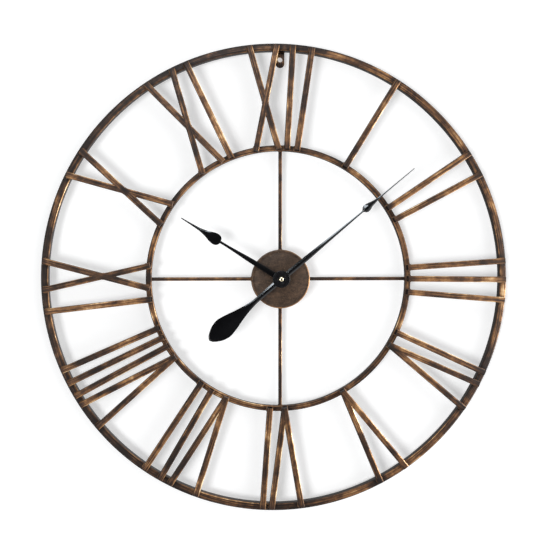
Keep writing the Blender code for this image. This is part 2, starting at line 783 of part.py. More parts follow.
def rotor(holder):
    phase = meshing_phase(0.0, FIFTH_WHEEL_TEETH, ROTOR_TEETH, ROTOR_HEADING)
    centre = ROTOR_PLACE
    pinion = gear(ROTOR_TEETH, FIFTH_MODULE, phase, centre, ROTOR_PINION_LAYER)
    shaft = spindle(centre, ROTOR_SHAFT_RADIUS, *ROTOR_SHAFT_LAYER)
    magnet = spindle(centre, MAGNET_RADIUS, *MAGNET_LAYER)
    name_part(union(shaft, pinion, magnet), "rotor", "dark_steel", holder)


# ------------------------------------------------------------------ motor, circuit and battery
def stator():
    hole = circle(STATOR_HOLE_RADIUS, SMALL_STEPS, *ROTOR_PLACE)
    name_part(flat([STATOR_OUTLINE, hole], *STATOR_LAYER), "stator", "steel")
    core = block(CORE_SIZE, (CORE_X, COIL_Y, COIL_DEPTH))
    name_part(core, "coil_core", "steel")


def coil():
    """The winding on its bobbin, with a flange at each end and the core's slot through it."""
    left = (COIL_LEFT, COIL_Y, COIL_DEPTH)
    right = (COIL_RIGHT, COIL_Y, COIL_DEPTH)
    winding = rod(COIL_RADIUS, left, right)
    inward = COIL_FLANGE[0] / 3
    flanges = [
        block(COIL_FLANGE, (x, COIL_Y, COIL_DEPTH))
        for x in (COIL_LEFT + inward, COIL_RIGHT - inward)
    ]
    slot = block(COIL_SLOT, (CORE_X, COIL_Y, COIL_DEPTH))
    name_part(cut(union(winding, *flanges), slot), "coil", "copper", smooth=True)


def circuit():
    board = block(BOARD_SIZE, BOARD_MIDDLE)
    blob = turned(BLOB_PROFILE, SMALL_STEPS)
    blob.data.transform(Matrix.Translation(BLOB_PLACE))
    name_part(union(board, blob), "circuit_board", "green_board")
    crystal = rod(CRYSTAL_RADIUS, *CRYSTAL_ENDS)
    name_part(crystal, "quartz_crystal", "steel", smooth=True)


def on_battery(x):
    """The point this far along the battery's axis."""
    return x, BATTERY_Y, BATTERY_DEPTH


def battery():
    body = rod(BATTERY_RADIUS, on_battery(BATTERY_LEFT), on_battery(BATTERY_SHOULDER), BATTERY_STEPS)
    inside_shoulder = BATTERY_SHOULDER - CONTACT_SIZE[0]
    nub = rod(NUB_RADIUS, on_battery(inside_shoulder), on_battery(BATTERY_TIP))
    name_part(union(body, nub), "battery", "battery_sleeve", smooth=True)
    positive = block(CONTACT_SIZE, on_battery(CONTACT_X))
    name_part(positive, "contact_positive", "steel")
    negative = block(CONTACT_SIZE, on_battery(-CONTACT_X))
    spring_end = BATTERY_LEFT - GAP
    spring = rod(SPRING_RADIUS, on_battery(-CONTACT_X), on_battery(spring_end))
    name_part(union(negative, spring), "contact_negative", "steel")


# ------------------------------------------------------------------ hands
def smooth_widths(stations, samples):
    """Points down a blade through its stations, by a cubic that never overshoots them."""
    xs = [s[0] for s in stations]
    ys = [s[1] for s in stations]
    slopes = [(ys[k + 1] - ys[k]) / (xs[k + 1] - xs[k]) for k in range(len(xs) - 1)]
    tangents = [slopes[0]]
    for before, after in zip(slopes, slopes[1:]):
        same_way = before * after > 0
        tangents.append(2 * before * after / (before + after) if same_way else 0.0)
    tangents.append(slopes[-1])
    points = []
    for k, slope in enumerate(slopes):
        span = xs[k + 1] - xs[k]
        for step in range(samples):
            t = step / samples
            rise = (3 - 2 * t) * t * t
            value = ys[k] + (ys[k + 1] - ys[k]) * rise
            value += span * t * (1 - t) * ((1 - t) * tangents[k] - t * tangents[k + 1])
            points.append((xs[k] + span * t, value))
    points.append((xs[-1], ys[-1]))
    return points


def blade_outline(stations, degrees):
    """A blade that points this many degrees clockwise from twelve."""
    side = smooth_widths(stations, BLADE_SAMPLES)
    turn = math.radians(degrees)
    along = (math.sin(turn), math.cos(turn))
    across = (math.cos(turn), -math.sin(turn))
    both = [(r, -w) for r, w in side] + [(r, w) for r, w in reversed(side)]
    return [(r * along[0] + w * across[0], r * along[1] + w * across[1]) for r, w in both]


def hour_hand(holder):
    back = HOUR_HAND_BACK
    blade = flat([blade_outline(HOUR_BLADE, HOUR_ANGLE)], back, back + HAND_THICK)
    pipe_bore = HOUR_PIPE_RADIUS + FIT_GAP
    boss = washer_ring(HOUR_BOSS_RADIUS, pipe_bore, back, HOUR_BOSS_TOP, BOSS_STEPS)
    name_part(union(boss, blade), "hour_hand", "gloss_black", holder)


def minute_hand(holder):
    back = MINUTE_HAND_BACK
    floor = back + HAND_THICK
    blade = flat([blade_outline(MINUTE_BLADE, MINUTE_ANGLE)], back, floor)
    tail = flat([blade_outline(TAIL_BLADE, TAIL_ANGLE)], back, floor)
    bore = ARBOR_TIP_RADIUS + FIT_GAP
    boss = turned(
        [
            (BOSS_RADIUS - BOSS_CORNER, MINUTE_BOSS_TOP),
            (BOSS_RADIUS, MINUTE_BOSS_TOP - BOSS_CORNER),
            (BOSS_RADIUS, back),
            (bore, back),
            (bore, floor),
            (BOSS_RECESS_RADIUS, floor),
            (BOSS_RECESS_RADIUS, MINUTE_BOSS_TOP),
        ],
        BOSS_STEPS,
    )
    name_part(union(boss, blade, tail), "minute_hand", "gloss_black", holder)


def cap_nut(holder):
    """A domed nut on the arbor's threaded end."""
    bore = ARBOR_TIP_RADIUS + FIT_GAP
    rim = CAP_TOP - CAP_DOME
    profile = [
        *((CAP_RADIUS * share, rim + CAP_DOME * rise) for share, rise in CAP_CURVE),
        (CAP_RADIUS, CAP_BACK),
        (bore, CAP_BACK),
        (bore, ARBOR_TOP + GAP),
        (0.0, ARBOR_TOP + GAP),
    ]
    name_part(turned(profile, ROUND_STEPS), "cap_nut", "bright_steel", holder, smooth=True)


# ------------------------------------------------------------------ the clock
clear_scene()
PARTS = new_collection("wall_clock")
SHOP = new_collection("shop", hidden=True)
FINISHES = {
    "bronze": new_material("bronze", (0.20, 0.115, 0.06), 0.8, 0.45),
    "bronze_plate": new_material("bronze_plate", (0.13, 0.075, 0.045), 0.7, 0.5),
    "brass": new_material("brass", (0.62, 0.45, 0.18), 1.0, 0.3),
    "steel": new_material("steel", (0.55, 0.55, 0.56), 1.0, 0.35),
    "dark_steel": new_material("dark_steel", (0.12, 0.12, 0.13), 0.9, 0.4),
    "bright_steel": new_material("bright_steel", (0.80, 0.77, 0.68), 1.0, 0.15),
    "rubber": new_material("rubber", (0.02, 0.02, 0.02), 0.0, 0.8),
    "black_plastic": new_material("black_plastic", (0.025, 0.025, 0.027), 0.0, 0.5),
    "white_plastic": new_material("white_plastic", (0.80, 0.80, 0.76), 0.0, 0.4),
    "copper": new_material("copper", (0.55, 0.20, 0.08), 0.9, 0.35),
    "green_board": new_material("green_board", (0.03, 0.18, 0.07), 0.0, 0.5),
    "battery_sleeve": new_material("battery_sleeve", (0.12, 0.13, 0.15), 0.3, 0.35),
    "gloss_black": new_material("gloss_black", (0.008, 0.008, 0.009), 0.0, 0.12),
}
FACE = face_plane()

ring("outer_ring", RING_RADIUS, RING_TUBE, RING_STEPS)
ring("inner_ring", INNER_RING_RADIUS, INNER_RING_TUBE, INNER_RING_STEPS)
spokes()
numerals()
hanging_eye()
hub_pan()
fixings()
movement_case()
middle_plate()
stator()
coil()
circuit()
battery()

minute_axis = pivot("minute_axis", *ORIGIN)
hour_axis = pivot("hour_axis", *ORIGIN)
second_axis = pivot("second_axis", *ORIGIN)
centre_arbor(minute_axis)
minute_hand(minute_axis)
cap_nut(minute_axis)
hour_wheel(hour_axis)
hour_hand(hour_axis)
minute_wheel(pivot("minute_wheel_axis", *MINUTE_WHEEL_PLACE))
setting_knob(pivot("setting_knob_axis", *KNOB_PLACE))
third_wheel(pivot("third_wheel_axis", *THIRD_PLACE))
second_wheel(second_axis)
fifth_wheel(pivot("fifth_wheel_axis", *FIFTH_PLACE))
rotor(pivot("rotor_axis", *ROTOR_PLACE))
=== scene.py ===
"""The wall clock's finished looks: worn bronze tube, welds, spun hub, gloss hands and the movement."""
import json
import math

import bmesh
import bpy
from mathutils import Matrix, Vector

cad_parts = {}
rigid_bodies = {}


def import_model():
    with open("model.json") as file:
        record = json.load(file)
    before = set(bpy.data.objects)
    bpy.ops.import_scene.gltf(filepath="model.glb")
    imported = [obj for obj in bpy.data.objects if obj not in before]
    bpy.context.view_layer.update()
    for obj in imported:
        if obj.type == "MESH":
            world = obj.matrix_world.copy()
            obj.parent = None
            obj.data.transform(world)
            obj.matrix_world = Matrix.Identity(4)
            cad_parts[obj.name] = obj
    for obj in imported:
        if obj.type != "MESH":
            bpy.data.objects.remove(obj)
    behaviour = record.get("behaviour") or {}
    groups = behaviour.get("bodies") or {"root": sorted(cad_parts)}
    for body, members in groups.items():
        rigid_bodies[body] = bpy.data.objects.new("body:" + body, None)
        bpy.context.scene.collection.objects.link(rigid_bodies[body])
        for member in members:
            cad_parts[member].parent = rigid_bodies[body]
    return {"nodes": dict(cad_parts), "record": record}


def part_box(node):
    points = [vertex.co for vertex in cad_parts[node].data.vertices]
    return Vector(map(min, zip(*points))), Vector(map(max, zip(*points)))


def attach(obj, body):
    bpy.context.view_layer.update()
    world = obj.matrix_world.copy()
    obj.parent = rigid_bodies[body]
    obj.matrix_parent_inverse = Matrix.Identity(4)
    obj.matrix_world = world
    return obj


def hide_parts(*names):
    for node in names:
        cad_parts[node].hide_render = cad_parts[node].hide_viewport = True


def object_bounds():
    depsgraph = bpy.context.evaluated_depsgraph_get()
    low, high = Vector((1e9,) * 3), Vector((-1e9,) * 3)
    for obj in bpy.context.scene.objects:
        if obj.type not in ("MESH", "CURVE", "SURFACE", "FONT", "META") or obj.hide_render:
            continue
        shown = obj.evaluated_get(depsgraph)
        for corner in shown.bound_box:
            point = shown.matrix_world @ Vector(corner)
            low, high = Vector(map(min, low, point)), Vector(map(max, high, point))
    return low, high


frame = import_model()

CAD_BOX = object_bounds()
NODES = frame["nodes"]
WALL = CAD_BOX[1].y
RING_INSET = 0.0001

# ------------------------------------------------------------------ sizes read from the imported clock
OUTER_LOW, OUTER_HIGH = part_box("outer_ring")
INNER_LOW, INNER_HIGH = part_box("inner_ring")
OUTER_RADIUS = OUTER_HIGH.x - RING_INSET
OUTER_TUBE = OUTER_HIGH.y - OUTER_LOW.y
INNER_RADIUS = INNER_HIGH.x
INNER_TUBE = INNER_HIGH.y - INNER_LOW.y
RING_FRONT = WALL - OUTER_LOW.y
PAN_LOW, PAN_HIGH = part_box("hub_pan")
PAN_RADIUS = PAN_HIGH.x
PAN_FRONT = WALL - PAN_LOW.y
PAN_BACK = WALL - PAN_HIGH.y
EYE_LOW, EYE_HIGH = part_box("hanging_eye")
BAR_LOW, BAR_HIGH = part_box("three_bar_b")
BAR_FRONT = WALL - BAR_LOW.y
BAR_SIZE = BAR_HIGH.y - BAR_LOW.y
BAR_MIDDLE = BAR_FRONT - BAR_SIZE / 2
SPOKE_LOW, SPOKE_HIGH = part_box("spoke_right")
SPOKE_SIZE = SPOKE_HIGH.y - SPOKE_LOW.y
SPOKE_MIDDLE = WALL - (SPOKE_LOW.y + SPOKE_HIGH.y) / 2

# ------------------------------------------------------------------ sizes of the finish
RING_CORNER = 0.0020
BAR_CORNER = 0.0017
SPOKE_CORNER = 0.0014
TUBE_WALL = 0.0010
OUTER_STEPS = 360
INNER_STEPS = 240
BAR_STEPS = 34
SPOKE_STEPS = 44
CORNER_TURNS = 3
FLAT_SHARES = (0.18, 0.5, 0.82)
CUT_BEVEL = 0.0003
MERGE_WITHIN = 0.000002

# how far the tube's paint is rubbed away, from 0 to 1, and how far soot reaches from each weld
FACE_RUB = 0.5
CORNER_RUB = 0.3
INNER_EDGE_RUB = -0.4
SIDE_RUB = 0.1
BACK_RUB = 0.3
SOOT_REACH = 0.009
FOOT_SOOT = 0.011
HEAD_SOOT = 0.006
MEETING_SOOT = 0.015
SPOKE_SOOT = 0.012

PAN_HOLE = 0.0043
KNURL_RIDGES = 36
RIBS = 8
RIB_PITCH = 0.0018
SPRING_POINTS = 97
SPRING_TURNS = 4
WINDING_TURNS = 52
EYE_HOLE = 0.0041
EYE_HOLE_RISE = 0.0137
SUNK_BAR = 0.0002
HEAD_RADIUS = 0.3945
FOOT_RADIUS = 0.2206

WALL_STANDOFF = 0.004
STAGE_GLOW = 0.45
STAGE_TONE = (0.66, 0.665, 0.67, 1.0)

BEAD_RADIUS = 0.00105
BEAD_PITCH = 0.0011
BEAD_SEED = 7

# hour: (degrees at the foot, degrees at the head) of each stroke, counted from the hour's own place
BARS = {
    "one": (1, [(0.0, 0.75)]),
    "two": (2, [(-3.25, -3.5), (2.75, 2.5)]),
    "three": (3, [(-5.0, -4.5), (0.0, 0.25), (6.0, 5.5)]),
    "four": (4, [(-5.25, -5.25)]),
    "six": (6, [(4.75, 4.5)]),
    "seven": (7, [(2.0, 1.25), (7.5, 5.75)]),
    "eight": (8, [(-0.5, 0.5), (3.75, 4.0), (8.25, 7.5)]),
    "nine": (9, [(-8.75, -7.75)]),
    "eleven": (11, [(7.75, 6.25)]),
    "twelve": (12, [(2.75, 3.0), (7.25, 7.75)]),
}
VEES = {
    "four": (4, [(1.25, -2.0), (1.25, 5.25)]),
    "five": (5, [(1.0, -3.75), (1.0, 3.75)]),
    "six": (6, [(-1.75, -5.25), (-1.75, 2.25)]),
    "seven": (7, [(-5.25, -8.5), (-5.25, -1.5)]),
    "eight": (8, [(-6.25, -8.75), (-6.25, -2.0)]),
}
CROSSES = {
    "nine": (9, [(-4.0, 4.5), (6.0, -2.5)]),
    "ten": (10, [(-5.5, 2.75), (4.75, -4.0)]),
    "eleven": (11, [(-6.75, 2.5), (3.75, -4.75)]),
    "twelve": (12, [(-11.0, -1.0), (-1.0, -7.75)]),
}

# (distance from the arbor, half width) down each blade of the hands
HOUR_ANGLE = 301.5
MINUTE_ANGLE = 50.4
TAIL_ANGLE = 229.8
HOUR_BLADE = [
    (0.010, 0.0046), (0.050, 0.0043), (0.1165, 0.0021), (0.1190, 0.0023), (0.1207, 0.0054),
    (0.1235, 0.0083), (0.129, 0.0098), (0.135, 0.0090), (0.147, 0.0052), (0.160, 0.0026),
    (0.175, 0.0016), (0.196, 0.0008),
]
MINUTE_BLADE = [
    (0.010, 0.0046), (0.052, 0.0044), (0.100, 0.0032), (0.148, 0.0021), (0.180, 0.0015),
    (0.1822, 0.0034), (0.1845, 0.0056), (0.188, 0.0068), (0.193, 0.0061), (0.204, 0.0033),
    (0.216, 0.0017), (0.240, 0.0010), (0.2955, 0.0006),
]
TAIL_BLADE = [
    (0.010, 0.0046), (0.052, 0.0042), (0.072, 0.0060), (0.092, 0.0100), (0.112, 0.0153),
    (0.127, 0.0178), (0.138, 0.0158), (0.149, 0.0104), (0.1555, 0.0052), (0.1582, 0.0007),
]
BLADE_THICK = 0.0006
CROWN_SLOPE = 0.33
BLADE_SAMPLES = 7
BLADE_ACROSS = (-1.0, -0.8, -0.6, -0.4, -0.2, 0.0, 0.2, 0.4, 0.6, 0.8, 1.0)


# ------------------------------------------------------------------ places
def at(x, z, depth):
    """A point of the clock: to the right, up, and out from the wall."""
    return Vector((x, WALL - depth, z))


def polar(radius, degrees):
    """(x, z) at a distance from the arbor, clockwise from twelve."""
    turn = math.radians(degrees)
    return radius * math.sin(turn), radius * math.cos(turn)


# ------------------------------------------------------------------ finishes
def tint(code):
    """A linear colour from its six hexadecimal digits."""
    values = [int(code[k:k + 2], 16) / 255 for k in (0, 2, 4)]
    linear = [v / 12.92 if v <= 0.04045 else ((v + 0.055) / 1.055) ** 2.4 for v in values]
    return (*linear, 1.0)


class Nodes:
    """Short calls that fill a node tree."""

    def __init__(self, tree):
        self.tree = tree

    def put(self, socket, value):
        """Links another node's output to a socket, or gives the socket a constant."""
        if isinstance(value, bpy.types.NodeSocket):
            self.tree.links.new(value, socket)
        else:
            socket.default_value = value

    def add(self, kind, sockets=(), **settings):
        """A new node with its settings, and its inputs by name or number."""
        node = self.tree.nodes.new(kind)
        for key, value in settings.items():
            setattr(node, key, value)
        for socket, value in dict(sockets).items():
            self.put(node.inputs[socket], value)
        return node


class Finish(Nodes):
    """A material in the making: its Principled shader, and short calls that add the nodes before it."""

    def __init__(self, name, **constants):
        self.material = bpy.data.materials.new(name)
        self.material.use_nodes = True
        super().__init__(self.material.node_tree)
        self.shader = self.tree.nodes["Principled BSDF"]
        self.surface(**constants)
        self.objects = self.add("ShaderNodeTexCoord").outputs["Object"]

    def surface(self, **sockets):
        for socket, value in sockets.items():
            self.put(self.shader.inputs[socket.replace("_", " ")], value)

    def layer(self, name):
        """The piece's own UV map of this name."""
        return self.add("ShaderNodeUVMap", uv_map=name).outputs["UV"]

    def scaled(self, vector, scale, turn=(0, 0, 0)):
        sockets = {"Vector": vector, "Scale": scale, "Rotation": turn}
        return self.add("ShaderNodeMapping", sockets).outputs["Vector"]

    def noise(self, vector, scale, detail=4.0, roughness=0.55, distortion=0.0):
        sockets = {"Vector": vector, "Scale": scale, "Detail": detail, "Roughness": roughness}
        return self.add("ShaderNodeTexNoise", {**sockets, "Distortion": distortion}).outputs["Fac"]

    def cells(self, vector, scale, feature="F1"):
        sockets = {"Vector": vector, "Scale": scale}
        return self.add("ShaderNodeTexVoronoi", sockets, feature=feature).outputs["Distance"]

    def waves(self, vector, scale, distortion, axis):
        sockets = {"Vector": vector, "Scale": scale, "Distortion": distortion}
        return self.add("ShaderNodeTexWave", sockets, bands_direction=axis).outputs["Fac"]

    def maths(self, operation, first, second, clamp=False):
        sockets = {0: first, 1: second}
        return self.add("ShaderNodeMath", sockets, operation=operation, use_clamp=clamp).outputs[0]

    def total(self, *parts):
        """The clamped sum of (socket, weight) pairs and plain numbers."""
        running = 0.0
        for part in parts:
            weighed = self.maths("MULTIPLY", *part) if isinstance(part, tuple) else part
            running = self.maths("ADD", weighed, running)
        return self.maths("ADD", running, 0.0, clamp=True)

    def between(self, value, low, high, start=0.0, end=1.0):
        """value from low..high turned into start..end, and held there."""
        sockets = {"Value": value, "From Min": low, "From Max": high, "To Min": start, "To Max": end}
        return self.add("ShaderNodeMapRange", sockets, clamp=True).outputs["Result"]

    def ramp(self, value, *stops):
        node = self.add("ShaderNodeValToRGB", {"Fac": value})
        points = node.color_ramp.elements
        while len(points) < len(stops):
            points.new(0.5)
        for point, (place, colour) in zip(points, stops):
            point.position = place
            point.color = tint(colour)
        return node.outputs["Color"]

    def blend(self, share, first, second):
        sockets = {"Factor": share, "A": first, "B": second}
        node = self.add("ShaderNodeMix", data_type="RGBA")
        for socket, value in sockets.items():
            self.put(node.inputs[socket], value)
        return node.outputs["Result"]

    def axis(self, vector, name):
        return self.add("ShaderNodeSeparateXYZ", {"Vector": vector}).outputs[name]

    def from_axis(self):
        """The distance from the arbor's axis, in metres."""
        flat = self.scaled(self.objects, (1, 0, 1))
        return self.add("ShaderNodeVectorMath", {0: flat}, operation="LENGTH").outputs["Value"]

    def tool_rings(self, fineness, roughness):
        """Fine rings about the arbor's axis, as a turning tool leaves them."""
        reach = self.maths("MULTIPLY", self.from_axis(), fineness)
        vector = self.add("ShaderNodeCombineXYZ", {"X": reach}).outputs["Vector"]
        return self.noise(vector, 1.0, 2.0, roughness)

    def bump(self, *heights):
        """Bumps in turn, each (height, distance in metres, strength)."""
        normal = None
        for height, distance, strength in heights:
            sockets = {"Height": height, "Distance": distance, "Strength": strength}
            if normal is not None:
                sockets["Normal"] = normal
            normal = self.add("ShaderNodeBump", sockets).outputs["Normal"]
        self.put(self.shader.inputs["Normal"], normal)


def worn_bronze(name, lift, lean=0.0):
    """Dark bronze paint dry-brushed with copper along the tube, palest on the corners, dark at welds, with
    painted light from the right: sides facing right lighter, sides facing left darker.
    """
    f = Finish(name, Specular_IOR_Level=0.22)
    along = f.layer("along")
    wear = f.layer("wear")
    edge = f.axis(wear, "X")
    joint = f.axis(wear, "Y")
    strokes = f.noise(f.scaled(along, (13, 520, 1)), 1.0, 3.0, 0.6, 0.25)
    hairs = f.noise(f.scaled(along, (40, 1900, 1)), 1.0, 2.0, 0.6)
    patches = f.noise(f.objects, 15.0, 3.0, 0.6, 0.5)
    blotches = f.noise(f.objects, 85.0, 4.0, 0.65)
    # painted light: the normal's X lightens sides that face right and darkens sides that face left, standing
    # in for light from the right; lean makes the rub rise towards the right of the clock
    facing = f.axis(f.add("ShaderNodeNewGeometry").outputs["Normal"], "X")
    rubbed = f.total(
        (strokes, 1.7), (hairs, 0.7), (patches, 1.6), (blotches, 0.8),
        (edge, 0.9), (facing, 0.30), (joint, -0.24), (f.axis(f.objects, "X"), lean), lift,
    )
    tones = f.ramp(
        rubbed,
        (0.0, "140b06"), (0.25, "2f1e13"), (0.45, "563b27"), (0.62, "7d5939"), (0.8, "a98157"),
        (1.0, "ead2aa"),
    )
    grime = f.total((f.noise(f.objects, 30.0, 5.0, 0.7), 1.6), (joint, 0.22), -0.72)
    f.surface(
        Base_Color=f.blend(f.between(grime, 0.2, 0.8, 0.0, 0.7), tones, tint("22150d")),
        Metallic=f.between(rubbed, 0.25, 0.85, 0.0, 0.5),
        Roughness=f.between(f.maths("ADD", rubbed, f.maths("MULTIPLY", blotches, 0.3)), 0.2, 1.2, 0.56, 0.32),
    )
    f.bump(
        (f.noise(f.objects, 160.0, 4.0, 0.6), 0.0004, 0.45),
        (strokes, 0.00012, 0.7),
        (hairs, 0.00005, 0.6),
    )
    return f.material


def weld_bronze():
    """The same paint over weld metal: lumpy, dark, and rubbed only on its high spots."""
    f = Finish("weld_bronze", Specular_IOR_Level=0.22)
    lumps = f.noise(f.objects, 420.0, 4.0, 0.6)
    soot = f.noise(f.objects, 60.0, 4.0, 0.6)
    tone = f.total((lumps, 0.9), (soot, 0.8), -0.35)
    f.surface(
        Base_Color=f.ramp(tone, (0.0, "1f140d"), (0.4, "4a3424"), (0.7, "7c5c40"), (1.0, "b08a62")),
        Metallic=f.between(tone, 0.3, 1.0, 0.2, 0.5),
        Roughness=f.between(soot, 0.3, 0.7, 0.6, 0.42),
    )
    f.bump((lumps, 0.0004, 0.6), (f.noise(f.objects, 1500.0, 3.0), 0.0001, 0.5))
    return f.material


def hub_bronze():
    """Brown mottled paint on spun plate, with a rubbed copper rim at the face's edge that is also a painted
    highlight, brightest towards the lower right.
    """
    f = Finish("hub_bronze", Specular_IOR_Level=0.25)
    face = WALL - PAN_FRONT
    mottle = f.noise(f.objects, 120.0, 6.0, 0.62, 0.6)
    clouds = f.noise(f.objects, 28.0, 4.0, 0.6, 0.8)
    spun = f.noise(f.scaled(f.objects, (60, 60, 60)), 22.0, 5.0, 0.75)
    uneven_reach = f.maths("ADD", f.from_axis(), f.maths("MULTIPLY", mottle, 0.003))
    rim = f.between(uneven_reach, 0.0492, 0.0510)
    # painted highlight: the copper rim is made strongest towards the lower right, where light from the lower
    # right would catch the rolled edge
    painted_light_to_lower_right = f.maths("SUBTRACT", f.axis(f.objects, "X"), f.axis(f.objects, "Z"))
    rub_and_highlight_share = f.maths(
        "MULTIPLY", f.between(clouds, 0.3, 0.6, 0.3, 1.0), f.between(painted_light_to_lower_right, -0.06, 0.05, 0.1, 1.0)
    )
    near_face = f.between(f.axis(f.objects, "Y"), face + 0.0014, face + 0.0045, 1.0, 0.12)
    rim_rub_and_painted_highlight = f.maths("MULTIPLY", f.maths("MULTIPLY", rim, rub_and_highlight_share), near_face)
    brushed = f.noise(f.scaled(f.objects, (90, 90, 1500), turn=(0, 0.12, 0)), 1.0, 3.0, 0.65)
    tones = f.ramp(
        f.total((mottle, 0.8), (clouds, 0.6), (spun, 0.3), (brushed, 0.8), -1.0),
        (0.0, "241a13"), (0.3, "3c2e24"), (0.55, "523f31"), (0.8, "6a523e"), (1.0, "8f7152"),
    )
    specks = f.between(f.noise(f.objects, 700.0, 2.0), 0.64, 0.75, 0.0, 0.5)
    mixed = f.blend(specks, tones, tint("8f7354"))
    f.surface(
        Base_Color=f.blend(rim_rub_and_painted_highlight, mixed, tint("a97c52")),
        Metallic=f.between(rim_rub_and_painted_highlight, 0.0, 1.0, 0.3, 0.6),
        Roughness=f.between(mottle, 0.3, 0.7, 0.55, 0.4),
    )
    f.bump((mottle, 0.0005, 0.35), (spun, 0.00015, 0.6))
    return f.material


def gloss_black():
    """Black enamel on stamped hands: a slight orange peel, dust, and fine rubs."""
    f = Finish("gloss_black", Coat_Weight=0.25, Coat_Roughness=0.06, Specular_IOR_Level=0.45)
    peel = f.noise(f.objects, 900.0, 2.0, 0.5)
    sweep = f.noise(f.objects, 40.0, 3.0, 0.6)
    dust = f.between(f.noise(f.objects, 1300.0, 3.0, 0.7), 0.62, 0.8)
    rubs = f.noise(f.scaled(f.objects, (220, 60, 900), turn=(0, 0.7, 0)), 1.0, 3.0, 0.7)
    enamel = f.ramp(sweep, (0.3, "030304"), (0.7, "09090b"))
    f.surface(
        Base_Color=f.blend(f.maths("MULTIPLY", dust, 0.10), enamel, tint("4a4b50")),
        Roughness=f.total((rubs, 0.12), (dust, 0.12), 0.05),
    )
    f.bump((peel, 0.00008, 0.25), (sweep, 0.0005, 0.12))
    return f.material


def satin_black():
    """The satin black ring in the minute hand's middle, turned and lightly brushed round."""
    f = Finish("satin_black", Specular_IOR_Level=0.4)
    haze = f.noise(f.objects, 130.0, 4.0, 0.6)
    f.surface(
        Base_Color=f.ramp(haze, (0.25, "040405"), (0.75, "0e0e10")),
        Roughness=f.between(haze, 0.3, 0.7, 0.2, 0.32),
    )
    f.bump((f.tool_rings(5200.0, 0.6), 0.00006, 0.5), (haze, 0.0002, 0.2))
    return f.material


def turned_metal(name, dark, light, roughness, tarnish):
    """Machined metal with tool rings about the arbor and a little tarnish."""
    f = Finish(name, Metallic=1.0)
    rings = f.tool_rings(6500.0, 0.7)
    haze = f.noise(f.objects, 180.0, 5.0, 0.65)
    scratches = f.noise(f.scaled(f.objects, (3000, 300, 300), turn=(0.4, 0.9, 0.2)), 1.0, 2.0)
    tone = f.total((haze, 0.8), (rings, 0.35), -0.12)
    clean = f.ramp(tone, (0.2, dark), (0.85, light))
    stains = f.between(f.noise(f.objects, 70.0, 4.0, 0.7), 0.5, 0.72, 0.0, 0.55)
    f.surface(
        Base_Color=f.blend(stains, clean, tint(tarnish)),
        Roughness=f.total((haze, 0.2), (scratches, 0.12), (stains, 0.2), roughness),
    )
    f.bump((rings, 0.00004, 0.6), (scratches, 0.00003, 0.5))
    return f.material


def plated_steel(name, dark, light, roughness):
    """Rolled sheet steel with a plated skin: long faint grain, scratches and dulled patches."""
    f = Finish(name, Metallic=1.0)
    grain = f.noise(f.scaled(f.objects, (260, 900, 5200)), 1.0, 3.0, 0.6)
    haze = f.noise(f.objects, 210.0, 4.0, 0.6)
    tone = f.total((grain, 0.5), (haze, 0.6), -0.1)
    f.surface(
        Base_Color=f.ramp(tone, (0.2, dark), (0.85, light)),
        Roughness=f.total((grain, 0.18), (haze, 0.25), roughness),
    )
    f.bump((grain, 0.00003, 0.6), (haze, 0.00008, 0.3))
    return f.material


def moulded(name, low, high, roughness, grain):
    """Moulded plastic with a spark-eroded grain, flow marks and handling scuffs."""
    f = Finish(name, Specular_IOR_Level=0.45)
    pits = f.noise(f.objects, grain, 3.0, 0.6)
    flow = f.noise(f.objects, 45.0, 4.0, 0.6, 1.2)
    drawn_out = f.scaled(f.objects, (90, 1400, 1400), turn=(0, 0.5, 0))
    scuffs = f.between(f.noise(drawn_out, 1.0, 3.0), 0.6, 0.75)
    plastic = f.ramp(flow, (0.25, low), (0.75, high))
    f.surface(
        Base_Color=f.blend(f.maths("MULTIPLY", scuffs, 0.25), plastic, tint("8b8b88")),
        Roughness=f.total((pits, 0.2), (flow, 0.15), (scuffs, 0.1), roughness),
    )
    f.bump((pits, 0.00008, 0.6), (flow, 0.0002, 0.15))
    return f.material


def wound_copper():
    """Enamelled winding wire, turn beside turn, catching light on each turn."""
    f = Finish("wound_copper", Metallic=0.9, Coat_Weight=0.4)
    turns = f.waves(f.objects, 900.0, 0.6, "X")
    lay = f.noise(f.scaled(f.objects, (400, 90, 90)), 1.0, 3.0)
    tone = f.total((turns, 0.5), (lay, 0.6), -0.05)
    f.surface(
        Base_Color=f.ramp(tone, (0.15, "5a2210"), (0.6, "a8502a"), (1.0, "dd8f60")),
        Roughness=f.between(lay, 0.3, 0.7, 0.28, 0.45),
    )
    f.bump((turns, 0.00015, 0.9))
    return f.material


def green_mask():
    """Solder mask over fibre board, with the tracks just raised beneath it."""
    f = Finish("green_mask", Coat_Weight=0.5, Coat_Roughness=0.2)
    to_edge = f.cells(f.scaled(f.objects, (260, 260, 420)), 1.0, "DISTANCE_TO_EDGE")
    tracks = f.between(to_edge, 0.06, 0.12)
    weave = f.waves(f.objects, 1400.0, 0.3, "Z")
    mottle = f.noise(f.objects, 160.0, 3.0)
    board = f.ramp(mottle, (0.3, "0c3a1a"), (0.7, "125a2a"))
    f.surface(
        Base_Color=f.blend(tracks, tint("2f8a46"), board),
        Roughness=f.between(mottle, 0.3, 0.7, 0.3, 0.5),
    )
    f.bump((tracks, 0.00008, 0.7), (weave, 0.00003, 0.5))
    return f.material


